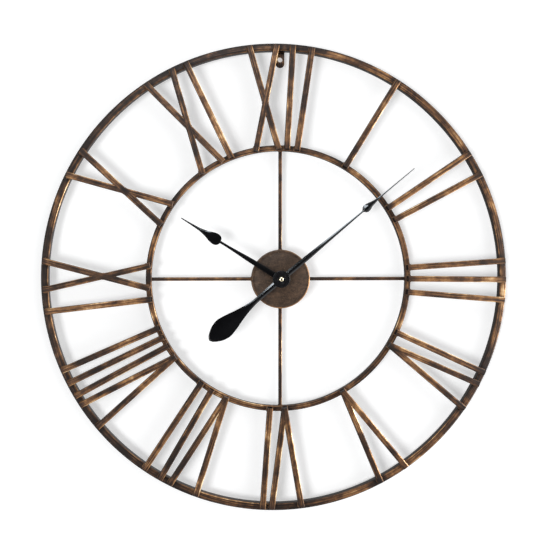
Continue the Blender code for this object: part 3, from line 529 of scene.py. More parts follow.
def battery_sleeve():
    """A shrunk plastic sleeve in two plain bands over a steel can."""
    f = Finish("battery_sleeve", Coat_Weight=0.4, Coat_Roughness=0.15)
    band = f.between(f.axis(f.objects, "X"), 0.0098, 0.0100)
    worn = f.noise(f.objects, 130.0, 5.0, 0.65)
    specks = f.between(f.noise(f.objects, 1100.0, 2.0), 0.66, 0.72)
    dark_band = f.ramp(worn, (0.3, "17191d"), (0.7, "24272d"))
    copper_band = f.ramp(worn, (0.3, "a8692c"), (0.7, "cf8b45"))
    sleeve = f.blend(band, dark_band, copper_band)
    f.surface(
        Base_Color=f.blend(f.maths("MULTIPLY", specks, 0.35), sleeve, tint("9a9a98")),
        Metallic=f.between(band, 0.0, 1.0, 0.1, 0.6),
        Roughness=f.between(worn, 0.3, 0.7, 0.26, 0.42),
    )
    f.bump((f.waves(f.objects, 120.0, 2.0, "X"), 0.00006, 0.3), (worn, 0.0001, 0.3))
    return f.material


def matt_rubber():
    """Moulded rubber with a faint bloom and fine pores."""
    f = Finish("matt_rubber", Specular_IOR_Level=0.3)
    bloom = f.noise(f.objects, 240.0, 5.0, 0.7)
    pores = f.cells(f.objects, 2600.0)
    f.surface(
        Base_Color=f.ramp(bloom, (0.3, "0b0b0b"), (0.75, "1d1c1b")),
        Roughness=f.between(bloom, 0.3, 0.7, 0.7, 0.9),
    )
    f.bump((pores, 0.0001, 0.5))
    return f.material


FINISHES = {
    "bronze": worn_bronze("worn_bronze", -2.50),
    "ring_bronze": worn_bronze("worn_bronze_outer", -2.60, 0.40),
    "spoke_bronze": worn_bronze("worn_bronze_spokes", -2.62),
    "weld": weld_bronze(),
    "bronze_plate": hub_bronze(),
    "brass": turned_metal("turned_brass", "7d5a22", "d0a350", 0.18, "5c4420"),
    "steel": plated_steel("plated_steel", "6f7072", "c4c5c6", 0.16),
    "dark_steel": plated_steel("sintered_magnet", "1b1b1d", "3c3c40", 0.38),
    "bright_steel": turned_metal("polished_pin", "b8ac8e", "f4ecd8", 0.08, "a08c62"),
    "rubber": matt_rubber(),
    "black_plastic": moulded("black_moulding", "0f0f10", "1c1c1e", 0.34, 1900.0),
    "white_plastic": moulded("white_moulding", "c4c3bb", "e4e3dc", 0.26, 1500.0),
    "copper": wound_copper(),
    "green_board": green_mask(),
    "battery_sleeve": battery_sleeve(),
    "gloss_black": gloss_black(),
    "satin_black": satin_black(),
}


# ------------------------------------------------------------------ making pieces
def piece(made, name, finish, stands_for=(), body="frame", smooth_under=32):
    """Gives a mesh its name, finish and body, shades it smooth, and hides the CAD nodes it stands for."""
    made.name = name
    made.data.name = name
    made.data.materials.clear()
    made.data.materials.append(FINISHES[finish])
    made.data.polygons.foreach_set("material_index", [0] * len(made.data.polygons))
    made.data.shade_smooth()
    made.data.set_sharp_from_angle(angle=math.radians(smooth_under))
    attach(made, body)
    if stands_for:
        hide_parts(*stands_for)


def depths(node):
    """How far a CAD node's back and front stand out from the wall."""
    low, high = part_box(node)
    return WALL - high.y, WALL - low.y


def new_object(data):
    """An object at the origin, in the scene, that holds this mesh, curve, light or camera."""
    made = bpy.data.objects.new(data.name, data)
    bpy.context.scene.collection.objects.link(made)
    return made


def mesh_object(name, points, faces):
    """An object with a mesh of these points and faces."""
    data = bpy.data.meshes.new(name)
    data.from_pydata(points, [], faces)
    return new_object(data)


def evaluated(drawn):
    """The object with its modifiers worked into a plain mesh; the drawn one is removed."""
    bpy.context.view_layer.update()
    graph = bpy.context.evaluated_depsgraph_get()
    data = bpy.data.meshes.new_from_object(drawn.evaluated_get(graph), depsgraph=graph)
    data.transform(drawn.matrix_world)
    made = new_object(data)
    bpy.data.objects.remove(drawn)
    return made


def cut_or_join(base, others, operation):
    """base with the others joined to it, or cut down to what they share."""
    for other in others:
        step = base.modifiers.new(operation, "BOOLEAN")
        step.operation = operation
        step.object = other
        step.solver = "EXACT"
    made = evaluated(base)
    for other in others:
        bpy.data.objects.remove(other)
    return made


def merged(*parts):
    """One object out of several closed shells, with their UV maps kept."""
    base = parts[0]
    shape = bmesh.new()
    for part in parts:
        shape.from_mesh(part.data)
    shape.to_mesh(base.data)
    shape.free()
    for part in parts[1:]:
        bpy.data.objects.remove(part)
    return base


def outward(made, weld=True):
    """Turns a closed shell's faces outwards. Its doubles are merged first, but not under UV maps."""
    shape = bmesh.new()
    shape.from_mesh(made.data)
    if weld:
        bmesh.ops.remove_doubles(shape, verts=shape.verts, dist=MERGE_WITHIN)
    bmesh.ops.recalc_face_normals(shape, faces=shape.faces)
    shape.to_mesh(made.data)
    shape.free()
    return made


def strip(first, second, count):
    """Faces between two closed rows of count points, given the number of each row's first point."""
    after = [*range(1, count), 0]
    return [(first + j, first + after[j], second + after[j], second + j) for j in range(count)]


def turned(name, profile, steps, middle=(0.0, 0.0)):
    """A body turned about the arbor's axis from a closed loop of (radius, depth) points."""
    count = len(profile)
    points = []
    faces = []
    for k in range(steps):
        turn = math.tau * k / steps
        for radius, depth in profile:
            x = middle[0] + radius * math.sin(turn)
            z = middle[1] + radius * math.cos(turn)
            points.append(at(x, z, depth))
        faces += strip(k * count, (k + 1) % steps * count, count)
    return outward(mesh_object(name, points, faces))


def rounded_loop(points, radius, steps=4):
    """A closed loop of corners with each one rounded."""
    loop = []
    for k, corner in enumerate(points):
        here = Vector(corner)
        before = Vector(points[k - 1]) - here
        after = Vector(points[(k + 1) % len(points)]) - here
        reach = min(radius, before.length * 0.45, after.length * 0.45)
        start = here + before.normalized() * reach
        end = here + after.normalized() * reach
        for step in range(steps + 1):
            t = step / steps
            loop.append(tuple(start * (1 - t) ** 2 + here * 2 * t * (1 - t) + end * t ** 2))
    return loop


def slab(outline, back, front, holes=(), edge=0.0002):
    """A flat piece cut to an outline of (x, z) points, with its edges just broken."""
    data = bpy.data.curves.new("slab", "CURVE")
    data.dimensions = "2D"
    data.fill_mode = "BOTH"
    data.extrude = (front - back) / 2 - edge
    data.bevel_depth = edge
    data.bevel_resolution = 1
    data.offset = -edge
    for loop in (outline, *holes):
        spline = data.splines.new("POLY")
        spline.points.add(len(loop) - 1)
        for point, (x, z) in zip(spline.points, loop):
            point.co = (x, z, 0, 1)
        spline.use_cyclic_u = True
    made = evaluated(new_object(data))
    made.data.transform(Matrix.Rotation(math.pi / 2, 4, "X"))
    made.data.transform(Matrix.Translation((0, WALL - (back + front) / 2, 0)))
    return outward(made)


def circle(radius, steps, x=0.0, z=0.0):
    """A closed loop of (x, z) points round a place on the face."""
    turns = [math.tau * k / steps for k in range(steps)]
    return [(x + radius * math.cos(t), z + radius * math.sin(t)) for t in turns]


# ------------------------------------------------------------------ square tube
def tube_section(size, corner, right_rub=CORNER_RUB):
    """Points round a square tube, and its girth. Each point is (across, out, how rubbed, distance round).

    They start at the front right corner, and each corner and flat takes a few.
    """
    flat = size / 2 - corner
    points = []
    run = 0.0
    quarter = corner * math.pi / 2
    for side, (right, front) in enumerate(((1, 1), (-1, 1), (-1, -1), (1, -1))):
        heading = side * math.pi / 2
        for step in range(CORNER_TURNS + 1):
            share = step / CORNER_TURNS
            turn = heading + math.pi / 2 * share
            to_front = share if side == 0 else 1 - share
            most = right_rub if side == 0 else CORNER_RUB
            rubbed = FACE_RUB + most * math.sin(math.pi * to_front) if front > 0 else 0.0
            if front > 0 and to_front == 0:
                rubbed = SIDE_RUB
            across = right * flat + corner * math.cos(turn)
            out = front * flat + corner * math.sin(turn)
            points.append((across, out, rubbed, run + quarter * share))
        run += quarter
        last = points[-1]
        forward = heading + math.pi
        for share in FLAT_SHARES:
            across = last[0] + 2 * flat * share * math.cos(forward)
            out = last[1] + 2 * flat * share * math.sin(forward)
            points.append((across, out, (FACE_RUB, 0.0, BACK_RUB, 0.0)[side], run + 2 * flat * share))
        run += 2 * flat
    return points, run


def strip_maps(section, girth, runs, darks):
    """The two maps of one strip of tube, corner by corner: (along, round) and (rubbed, near a joint)."""
    along = []
    wear = []
    low, high = runs
    dark_low, dark_high = darks
    for k, (_, _, rubbed, start) in enumerate(section):
        after = (k + 1) % len(section)
        next_rubbed = section[after][2]
        end = section[after][3] if after else girth
        along += [(low, start), (low, end), (high, end), (high, start)]
        wear += [(rubbed, dark_low), (next_rubbed, dark_low), (next_rubbed, dark_high), (rubbed, dark_high)]
    return along, wear


def write_maps(data, along, wear):
    """Two UV maps from per-corner values listed face by face."""
    for name, values in (("along", along), ("wear", wear)):
        layer = data.uv_layers.new(name=name)
        layer.data.foreach_set("uv", [number for pair in values for number in pair])


def tube_ring(name, radius, size, corner, steps, wobble, joints):
    """A ring of square tube with rounded corners. It is rolled a little out of true, always inwards."""
    section, girth = tube_section(size, corner, INNER_EDGE_RUB)
    count = len(section)
    middle = radius - size / 2
    pitch = math.tau * middle / steps
    points = []
    dark = []
    for k in range(steps):
        turn = math.tau * k / steps
        waves = math.sin(2 * turn + 0.6) + 0.6 * math.sin(3 * turn + 2.1) + 0.4 * math.sin(7 * turn)
        reach = middle + wobble * (waves - 2.0) / 4
        degrees = math.degrees(turn)
        apart = min(abs((degrees - j + 180) % 360 - 180) for j in joints) * math.radians(1) * middle
        dark.append(math.exp(-(apart / SOOT_REACH) ** 2))
        for across, out, _, _ in section:
            x = (reach + across) * math.sin(turn)
            z = (reach + across) * math.cos(turn)
            points.append(at(x, z, RING_FRONT - size / 2 + out))
    faces = []
    along = []
    wear = []
    for k in range(steps):
        step = (k + 1) % steps
        faces += strip(k * count, step * count, count)
        maps = strip_maps(section, girth, (k * pitch, (k + 1) * pitch), (dark[k], dark[step]))
        along += maps[0]
        wear += maps[1]
    made = mesh_object(name, points, faces)
    write_maps(made.data, along, wear)
    return outward(made, weld=False)


def tube_bar(name, foot, head, middle, size, corner, dark_at, start, solid=False, steps=BAR_STEPS):
    """A square tube from foot to head, with broken cut ends and a clear bore; or solid bar.

    dark_at lists each joint's place and how far its soot reaches.
    """
    section, girth = tube_section(size, corner)
    count = len(section)
    heading = head - foot
    length = heading.length
    heading.normalize()
    side = Vector((heading.y, -heading.x))
    places = [(0.0, CUT_BEVEL), (CUT_BEVEL, 0.0)]
    places += [(length * k / steps, 0.0) for k in range(1, steps)]
    places += [(length - CUT_BEVEL, 0.0), (length, CUT_BEVEL)]
    points = []

    def lay(loop, run, shrink=1.0):
        for across, out, _, _ in loop:
            flat = foot + heading * run + side * across * shrink
            points.append(at(flat.x, flat.y, middle + out * shrink))

    dark = []
    for run, inset in places:
        lay(section, run, 1 - 2 * inset / size)
        spot = foot + heading * run
        dark.append(max(math.exp(-((spot - joint).length / reach) ** 2) for joint, reach in dark_at))
    faces = []
    along = []
    wear = []
    for k in range(len(places) - 1):
        faces += strip(k * count, (k + 1) * count, count)
        runs = (start + places[k][0], start + places[k + 1][0])
        maps = strip_maps(section, girth, runs, (dark[k], dark[k + 1]))
        along += maps[0]
        wear += maps[1]
    last = (len(places) - 1) * count
    if solid:
        faces += [tuple(range(count)), tuple(range(last, last + count))]
        along += [(start, point[3]) for point in section] * 2
        wear += [(0.3, 1.0)] * (2 * count)
    else:
        bore, _ = tube_section(size - 2 * TUBE_WALL, corner - TUBE_WALL * 0.7)
        first = len(points)
        lay(bore, 0.0)
        lay(bore, length)
        cut_foot = strip(0, first, count)
        cut_head = strip(last, first + count, count)
        inside = strip(first, first + count, count)
        for j, loops in enumerate(zip(cut_foot, cut_head, inside)):
            faces += loops
            along += [(start, section[j][3]), (start, section[j][3]), (start, 0.0), (start, 0.0)] * 3
            wear += [(SIDE_RUB, 1.0)] * 12
    made = mesh_object(name, points, faces)
    write_maps(made.data, along, wear)
    return outward(made, weld=False)


# ------------------------------------------------------------------ welds
BEADS = []
def bead_run(start, end):
    """Beads in a line from start to end."""
    count = max(2, round((end - start).length / BEAD_PITCH) + 1)
    for k in range(count):
        BEADS.append(start.lerp(end, k / (count - 1)))


def stroke_ends(hour, angles):
    """Where a stroke starts on the inner ring and ends on the outer ring."""
    foot = Vector(polar(FOOT_RADIUS, 30 * hour + angles[0]))
    head = Vector(polar(HEAD_RADIUS, 30 * hour + angles[1]))
    return foot, head


def end_welds(foot, head):
    """Fillets down both sides of a bar where it lies on a ring, at its foot and at its head."""
    heading = (head - foot).normalized()
    side = Vector((heading.y, -heading.x))
    seam = RING_FRONT + 0.0002
    reach = BAR_SIZE / 2
    inner_lap = INNER_RADIUS - foot.length
    outer_lap = head.length - (OUTER_RADIUS - OUTER_TUBE)
    for hand in (-1, 1):
        low = foot + side * hand * reach
        high = head + side * hand * reach
        bead_run(at(*low, seam), at(*(low + heading * inner_lap * 0.92), seam))
        bead_run(at(*(high - heading * outer_lap * 0.9), seam), at(*high, seam))
    left = head - side * reach * 0.9
    right = head + side * reach * 0.9
    bead_run(at(*left, seam), at(*right, seam))


def crossing(first, second):
    """Where two strokes cross or meet, on their centre lines."""
    p, r = first[0], first[1] - first[0]
    q, s = second[0], second[1] - second[0]
    across = r.x * s.y - r.y * s.x
    t = ((q - p).x * s.y - (q - p).y * s.x) / across
    return p + r * t


def corner_welds(first, second, low_only=False):
    """Upright fillets in the corners between two crossing bars."""
    middle = crossing(first, second)
    a = (first[1] - first[0]).normalized()
    b = (second[1] - second[0]).normalized()
    half = BAR_SIZE / 2
    sine = abs(a.x * b.y - a.y * b.x)
    for mark_a, mark_b in ((1, 1), (1, -1), (-1, 1), (-1, -1)):
        spot = middle + (a * mark_a + b * mark_b) * half / sine
        reach = (spot - middle).length
        inside = min((spot - first[0]).dot(a), (spot - second[0]).dot(b))
        past = (spot - first[0]).dot(a) > (first[1] - first[0]).length
        if inside < 0.004 or past or reach > 0.09 or (low_only and mark_a != mark_b):
            continue
        inward = (middle - spot).normalized() * 0.0003
        bottom = at(*(spot + inward), RING_FRONT + 0.001)
        top = at(*(spot + inward), BAR_FRONT - 0.0012)
        bead_run(bottom, top)


def point_tree(name, inputs):
    """A node tree that sets a shape on every point, and ends in a plain mesh with its material set."""
    tree = bpy.data.node_groups.new(name, "GeometryNodeTree")
    for label, kind in (("Geometry", "Geometry"), *inputs, ("Material", "Material")):
        tree.interface.new_socket(label, in_out="INPUT", socket_type="NodeSocket" + kind)
    tree.interface.new_socket("Geometry", in_out="OUTPUT", socket_type="NodeSocketGeometry")
    g = Nodes(tree)
    start = g.add("NodeGroupInput").outputs
    lay = g.add("GeometryNodeInstanceOnPoints", {"Points": start["Geometry"]})
    real = g.add("GeometryNodeRealizeInstances", {"Geometry": lay.outputs["Instances"]})
    painted = {"Geometry": real.outputs["Geometry"], "Material": start["Material"]}
    paint = g.add("GeometryNodeSetMaterial", painted)
    g.add("NodeGroupOutput", {"Geometry": paint.outputs["Geometry"]})
    return g, start, lay.inputs


def bead_tree():
    """Lays a squashed bead on every point, each a little different."""
    inputs = (("Bead radius", "Float"), ("Size spread", "Float"), ("Seed", "Int"))
    g, start, laid = point_tree("weld_beads", inputs)
    bead = g.add("GeometryNodeMeshUVSphere", {"Segments": 8, "Rings": 5, "Radius": start["Bead radius"]})
    least, most = (
        g.add("ShaderNodeMath", {0: 1.0, 1: start["Size spread"]}, operation=way).outputs[0]
        for way in ("SUBTRACT", "ADD")
    )
    sizes = {2: least, 3: most, "Seed": start["Seed"]}
    size = g.add("FunctionNodeRandomValue", sizes, data_type="FLOAT")
    turns = {1: (math.tau, math.tau, math.tau), "Seed": start["Seed"]}
    turn = g.add("FunctionNodeRandomValue", turns, data_type="FLOAT_VECTOR")
    g.put(laid["Instance"], bead.outputs["Mesh"])
    g.put(laid["Rotation"], turn.outputs[0])
    g.put(laid["Scale"], size.outputs[1])
    return g.tree


def grown(name, points, tree, **inputs):
    """The plain mesh that a node tree makes of these points."""
    drawn = mesh_object(name, points, [])
    modifier = drawn.modifiers.new(name, "NODES")
    modifier.node_group = tree
    for item in tree.interface.items_tree:
        if item.in_out == "INPUT" and item.name.replace(" ", "_") in inputs:
            modifier[item.identifier] = inputs[item.name.replace(" ", "_")]
    return evaluated(drawn)


def lay_beads():
    """All the weld beads, on the places that the runs have listed."""
    beads = grown(
        "bead_points", BEADS, bead_tree(),
        Bead_radius=BEAD_RADIUS, Size_spread=0.22, Seed=BEAD_SEED, Material=FINISHES["weld"],
    )
    piece(beads, "weld_beads", "weld", smooth_under=80)


# ------------------------------------------------------------------ rings, numerals and spokes
def joint_degrees(at_head):
    """Where the strokes land on a ring, clockwise from twelve."""
    landed = []
    for table in (BARS, VEES, CROSSES):
        for hour, strokes in table.values():
            landed += [(30 * hour + angles[1 if at_head else 0]) % 360 for angles in strokes]
    return landed


def rings():
    """The two rolled rings. joint_degrees says where the strokes are welded to each."""
    outer = tube_ring(
        "outer", OUTER_RADIUS, OUTER_TUBE, RING_CORNER, OUTER_STEPS, 0.0003, joint_degrees(True)
    )
    piece(outer, "outer_ring_tube", "ring_bronze", ["outer_ring"])
    spoke_places = [0, 90, 180, 270]
    inner = tube_ring(
        "inner", INNER_RADIUS, INNER_TUBE, RING_CORNER * 0.8, INNER_STEPS, 0.0005,
        joint_degrees(False) + spoke_places,
    )
    piece(inner, "inner_ring_tube", "bronze", ["inner_ring"])


def plain_bars():
    """The single strokes: open square tube, each with its own stretch of the brushed pattern."""
    start = 0.0
    for name, (hour, strokes) in BARS.items():
        for letter, angles in zip("abc", strokes):
            node = name + (f"_bar_{letter}" if len(strokes) > 1 else "_bar")
            foot, head = stroke_ends(hour, angles)
            start += 0.531
            dark_at = [(foot, FOOT_SOOT), (head, HEAD_SOOT)]
            made = tube_bar(name, foot, head, BAR_MIDDLE, BAR_SIZE, BAR_CORNER, dark_at, start)
            piece(made, node + "_tube", "bronze", [node])
            end_welds(foot, head)


def welded_pairs():
    """Vees and crosses: the second bar stands a hair lower, as ground flush, and is welded to the first."""
    start = 31.0
    for kind, table in (("vee", VEES), ("cross", CROSSES)):
        for name, (hour, strokes) in table.items():
            ends = [stroke_ends(hour, angles) for angles in strokes]
            meet = crossing(*ends)
            tubes = []
            for order, (foot, head) in enumerate(ends):
                start += 0.473
                size = BAR_SIZE - SUNK_BAR * order
                dark_at = [(foot, FOOT_SOOT), (head, HEAD_SOOT), (meet, MEETING_SOOT)]
                tubes.append(
                    tube_bar(name, foot, head, BAR_MIDDLE, size, BAR_CORNER, dark_at, start, solid=True)
                )
                end_welds(foot, head)
            node = f"{name}_{kind}"
            piece(cut_or_join(tubes[0], tubes[1:], "UNION"), node + "_tubes", "bronze", [node])
            corner_welds(*ends, low_only=kind == "vee")


def spokes():
    """The four thin bars from the hub to the inner ring, with a weld all round each end."""
    inner = PAN_RADIUS - 0.0006
    outer = INNER_RADIUS - INNER_TUBE + 0.0003
    back = SPOKE_MIDDLE - SPOKE_SIZE * 0.4
    front = SPOKE_MIDDLE + SPOKE_SIZE * 0.4
    for place, degrees in (("top", 0), ("right", 90), ("bottom", 180), ("left", 270)):
        foot = Vector(polar(inner, degrees))
        head = Vector(polar(outer, degrees))
        made = tube_bar(
            place, foot, head, SPOKE_MIDDLE, SPOKE_SIZE, SPOKE_CORNER,
            [(foot, SPOKE_SOOT), (head, SPOKE_SOOT)], 70.0 + degrees, solid=True, steps=SPOKE_STEPS,
        )
        piece(made, f"spoke_{place}_bar", "spoke_bronze", [f"spoke_{place}"])
        heading = (head - foot).normalized()
        side = Vector((heading.y, -heading.x)) * SPOKE_SIZE * 0.42
        for spot in (foot + heading * 0.0006, head - heading * 0.0003):
            for depth in (SPOKE_MIDDLE - SPOKE_SIZE * 0.46, SPOKE_MIDDLE + SPOKE_SIZE * 0.46):
                bead_run(at(*(spot - side), depth), at(*(spot + side), depth))
            for hand in (-1, 1):
                edge = spot + side * hand * 1.1
                bead_run(at(*edge, back), at(*edge, front))


def hanging_eye():
    """The tab behind the outer ring's top, with a drilled and broken-edged hole."""
    half = EYE_HIGH.x
    tip = EYE_LOW.z + half
    hole_z = EYE_LOW.z + EYE_HOLE_RISE
    back, front = depths("hanging_eye")
    turns = [math.pi + math.pi * k / 28 for k in range(29)]
    outline = [(half, EYE_HIGH.z), (-half, EYE_HIGH.z)]
    outline += [(half * math.cos(t), tip + half * math.sin(t)) for t in turns]
    made = slab(outline, back, front, [circle(EYE_HOLE, 40, 0, hole_z)], edge=0.0003)
    corners = [made.data.vertices[loop.vertex_index].co for loop in made.data.loops]
    wear = []
    for c in corners:
        to_hole = math.hypot(c.x, c.z - hole_z)
        rubbed = math.exp(-((to_hole - EYE_HOLE) / 0.0015) ** 2)
        wear.append((0.45 + 0.3 * rubbed, math.exp(-((EYE_HIGH.z - c.z) / 0.006) ** 2)))
    write_maps(made.data, [(c.z, c.x) for c in corners], wear)
    piece(made, "hanging_eye_tab", "bronze", ["hanging_eye"])
    for depth in (back + 0.0006, front):
        bead_run(at(-half * 0.9, EYE_HIGH.z, depth), at(half * 0.9, EYE_HIGH.z, depth))


# ------------------------------------------------------------------ hub
def hub_pan():
    """The pressed pan: flat face, rolled front edge, a faint step inside the rim and a turned-in lip."""
    wall = 0.0012
    corner = 0.0026
    face = PAN_FRONT
    step = face - 0.00025
    outer = [(PAN_HOLE, face), (PAN_RADIUS - 0.0062, face), (PAN_RADIUS - 0.0056, step)]
    outer += [(PAN_RADIUS - 0.0049, step), (PAN_RADIUS - 0.0043, face)]
    for k in range(9):
        turn = math.pi / 2 * k / 8
        outer.append((PAN_RADIUS - corner + corner * math.sin(turn), face - corner + corner * math.cos(turn)))
    outer += [(PAN_RADIUS, PAN_BACK + 0.0004), (PAN_RADIUS - 0.0003, PAN_BACK)]
    inner = [(PAN_RADIUS - wall + 0.0002, PAN_BACK), (PAN_RADIUS - wall, PAN_BACK + 0.0003)]
    reach = corner - wall
    for k in range(7):
        turn = math.pi / 2 * (1 - k / 6)
        inner.append(
            (PAN_RADIUS - wall - reach + reach * math.sin(turn), face - wall - reach + reach * math.cos(turn))
        )
    inner += [(PAN_HOLE, face - wall)]
    piece(turned("pan", outer + inner, 144), "hub_pan_spun", "bronze_plate", ["hub_pan"])


def threaded_body(outer, bore, back, front, pitch, depth, steps=40):
    """A tube with a cut thread outside: a wave that climbs one pitch each turn."""
    rows = max(8, round((front - back) / pitch * 6))
    points = []
    for row in range(rows + 1):
        run = (front - back) * row / rows
        for k in range(steps):
            turn = math.tau * k / steps
            phase = (run / pitch - k / steps) % 1.0
            cut = depth * (1 - abs(2 * phase - 1))
            fade = min(1.0, (front - back - run) / pitch, run / pitch)
            reach = outer - depth * (1 - fade) - cut * fade
            points.append(at(reach * math.sin(turn), reach * math.cos(turn), back + run))
    for end in (front, back):
        for k in range(steps):
            turn = math.tau * k / steps
            points.append(at(bore * math.sin(turn), bore * math.cos(turn), end))
    faces = []
    for row in range(rows + 2):
        faces += strip(row * steps, (row + 1) * steps, steps)
    faces += strip((rows + 2) * steps, 0, steps)
    return outward(mesh_object("thread", points, faces))


def fixings():
    """The threaded bushing, its washer and gasket, and the nut that clamps them to the pan."""
    back, front = depths("threaded_bushing")
    seat = back + 0.001
    bushing = threaded_body(0.0039, 0.0026, seat, front, 0.00075, 0.0004)
    flange_loop = rounded_loop([(0.0060, seat), (0.0060, back), (0.0026, back), (0.0026, seat)], 0.0002, 2)
    flange = turned("flange", flange_loop, 48)
    piece(merged(bushing, flange), "bushing_thread", "brass", ["threaded_bushing"])
    for node, finish, edge in (("brass_washer", "brass", 0.00025), ("rubber_gasket", "rubber", 0.0002)):
        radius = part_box(node)[1].x
        back, front = depths(node)
        corners = [(radius, front), (radius, back), (PAN_HOLE, back), (PAN_HOLE, front)]
        piece(turned(node, rounded_loop(corners, edge, 3), 64), node + "_disc", finish, [node])
    back, front = depths("hex_nut")
    half = 0.006
    corner = 2 * half / math.sqrt(3)
    hexagon = slab(circle(corner, 6), back, front, [circle(0.0041, 40)], edge=0.00012)
    cone_loop = [
        (0.0030, front + 0.001), (half - 0.0003, front + 0.001), (half - 0.0002, front),
        (corner + 0.0001, front - 0.0006), (corner + 0.0001, back + 0.0006), (half - 0.0002, back),
        (half - 0.0003, back - 0.001), (0.0030, back - 0.001),
    ]
    nut = cut_or_join(hexagon, [turned("chamfer", cone_loop, 60)], "INTERSECT")
    piece(nut, "hex_nut_chamfered", "brass", ["hex_nut"])


# ------------------------------------------------------------------ hands
def smooth_widths(stations, samples):
    """Points down a blade through its stations, by a cubic that never overshoots them."""
    xs = [s[0] for s in stations]
    ys = [s[1] for s in stations]
    slopes = [(ys[k + 1] - ys[k]) / (xs[k + 1] - xs[k]) for k in range(len(xs) - 1)]
    tangents = [slopes[0]]
    for before, after in zip(slopes, slopes[1:]):
        same_way = before * after > 0
        tangents.append(2 * before * after / (before + after) if same_way else 0.0)
    tangents.append(slopes[-1])
    points = []
    for k in range(len(slopes)):
        span = xs[k + 1] - xs[k]
        for step in range(samples):
            t = step / samples
            rise = (3 - 2 * t) * t * t
            value = ys[k] + (ys[k + 1] - ys[k]) * rise
            value += span * t * (1 - t) * ((1 - t) * tangents[k] - t * tangents[k + 1])
            points.append((xs[k] + span * t, value))
    points.append((xs[-1], ys[-1]))
    return points


def blade(stations, degrees, back, crown):
    """A stamped blade with a crowned face, thinner at its edges."""
    side = smooth_widths(stations, BLADE_SAMPLES)
    turn = math.radians(degrees)
    forward = Vector((math.sin(turn), math.cos(turn)))
    right = Vector((math.cos(turn), -math.sin(turn)))
    count = len(BLADE_ACROSS)
    points = []
    for reach, half in side:
        crest = min(crown, half * CROWN_SLOPE)
        row = [forward * reach + right * half * share for share in BLADE_ACROSS]
        for flat, share in zip(row, BLADE_ACROSS):
            points.append(at(flat.x, flat.y, back + (BLADE_THICK + crest * (1 - abs(share) ** 1.5))))
        points += [at(flat.x, flat.y, back) for flat in row]
    faces = []
    for k in range(len(side) - 1):
        row = k * 2 * count
        after = row + 2 * count
        for j in range(count - 1):
            faces.append((row + j, row + j + 1, after + j + 1, after + j))
            faces.append((row + count + j + 1, row + count + j, after + count + j, after + count + j + 1))
        faces.append((row + count, row, after, after + count))
        faces.append((row + count - 1, row + 2 * count - 1, after + 2 * count - 1, after + count - 1))
    for row in (0, (len(side) - 1) * 2 * count):
        faces.append((*range(row, row + count), *range(row + 2 * count - 1, row + count - 1, -1)))
    return outward(mesh_object("blade", points, faces))


def hands():
    """The hour hand; the minute hand with its counterweight; and the ring in its middle."""
    back, top = depths("hour_hand")
    boss_loop = rounded_loop([(0.0135, top), (0.0135, back), (0.0026, back), (0.0026, top)], 0.0007)
    hour_blade = blade(HOUR_BLADE, HOUR_ANGLE, back, 0.0010)
    hour = cut_or_join(turned("hour_boss", boss_loop, 96), [hour_blade], "UNION")
    piece(hour, "hour_hand_stamped", "gloss_black", ["hour_hand"], body="hour_hand")

    back, top = depths("minute_hand")
    minute_blade = blade(MINUTE_BLADE, MINUTE_ANGLE, back, 0.0020)
    tail = blade(TAIL_BLADE, TAIL_ANGLE, back, 0.0014)
    floor = back + 0.0010
    rim = back + 0.0016
    collar_loop = rounded_loop(
        [(0.0138, rim), (0.0138, back), (0.0015, back), (0.0015, floor), (0.0060, floor), (0.0060, rim)],
        0.0002, 2,
    )
    stamped = cut_or_join(minute_blade, [tail, turned("collar", collar_loop, 96)], "UNION")
    piece(stamped, "minute_hand_stamped", "gloss_black", ["minute_hand"], body="minute_hand")
    seat = back + 0.0017
    ring_loop = rounded_loop(
        [
            (0.0145, top), (0.0145, back + 0.0003), (0.0139, back + 0.0003), (0.0139, seat),
            (0.0061, seat), (0.0061, top - 0.0004), (0.0064, top),
        ],
        0.0005, 5,
    )
    ring = turned("boss", ring_loop, 128)
    piece(ring, "minute_boss_ring", "satin_black", body="minute_hand")


def cap_nut():
    """A domed nut with a fine knurl round its skirt."""
    back, top = depths("cap_nut")
    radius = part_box("cap_nut")[1].x
    rise = 0.0016
    rim = top - rise
    turns = [math.pi / 2 * k / 9 for k in range(8, -1, -1)]
    loop = [(0.0001, top)]
    loop += [(radius * math.cos(turn) * 0.97, rim + rise * math.sin(turn)) for turn in turns]
    loop += [
        (radius, rim - 0.0001), (radius, back + 0.0002), (radius - 0.0002, back),
        (0.0015, back), (0.0015, top - 0.0011), (0.0001, top - 0.0011),
    ]
    body = turned("cap", loop, 72)
    ridges = []
    for k in range(KNURL_RIDGES):
        turn = math.tau * k / KNURL_RIDGES
        ridge = bmesh.new()
        bmesh.ops.create_cube(ridge, size=1.0)
        bmesh.ops.scale(ridge, vec=(0.0003, rim - back - 0.0006, 0.00025), verts=ridge.verts)
        for angle in (math.pi / 4, turn):
            bmesh.ops.rotate(ridge, matrix=Matrix.Rotation(angle, 3, "Y"), verts=ridge.verts)
        reach = radius - 0.00008
        spot = at(reach * math.sin(turn), reach * math.cos(turn), (rim + back) / 2)
        bmesh.ops.translate(ridge, vec=spot, verts=ridge.verts)
        data = bpy.data.meshes.new("ridge")
        ridge.to_mesh(data)
        ridge.free()
        ridges.append(new_object(data))
    piece(merged(body, *ridges), "cap_nut_domed", "bright_steel", ["cap_nut"], body="minute_hand")


# ------------------------------------------------------------------ movement
def softened(node, width, segments=2):
    """A copy of a CAD node with its triangles merged into faces and its edges rounded."""
    data = NODES[node].data.copy()
    made = new_object(data)
    shape = bmesh.new()
    shape.from_mesh(data)
    bmesh.ops.remove_doubles(shape, verts=shape.verts, dist=MERGE_WITHIN)
    bmesh.ops.dissolve_limit(shape, angle_limit=math.radians(2), verts=shape.verts, edges=shape.edges)
    shape.to_mesh(data)
    shape.free()
    return bevelled(made, width, segments, angle_limit=math.radians(30))


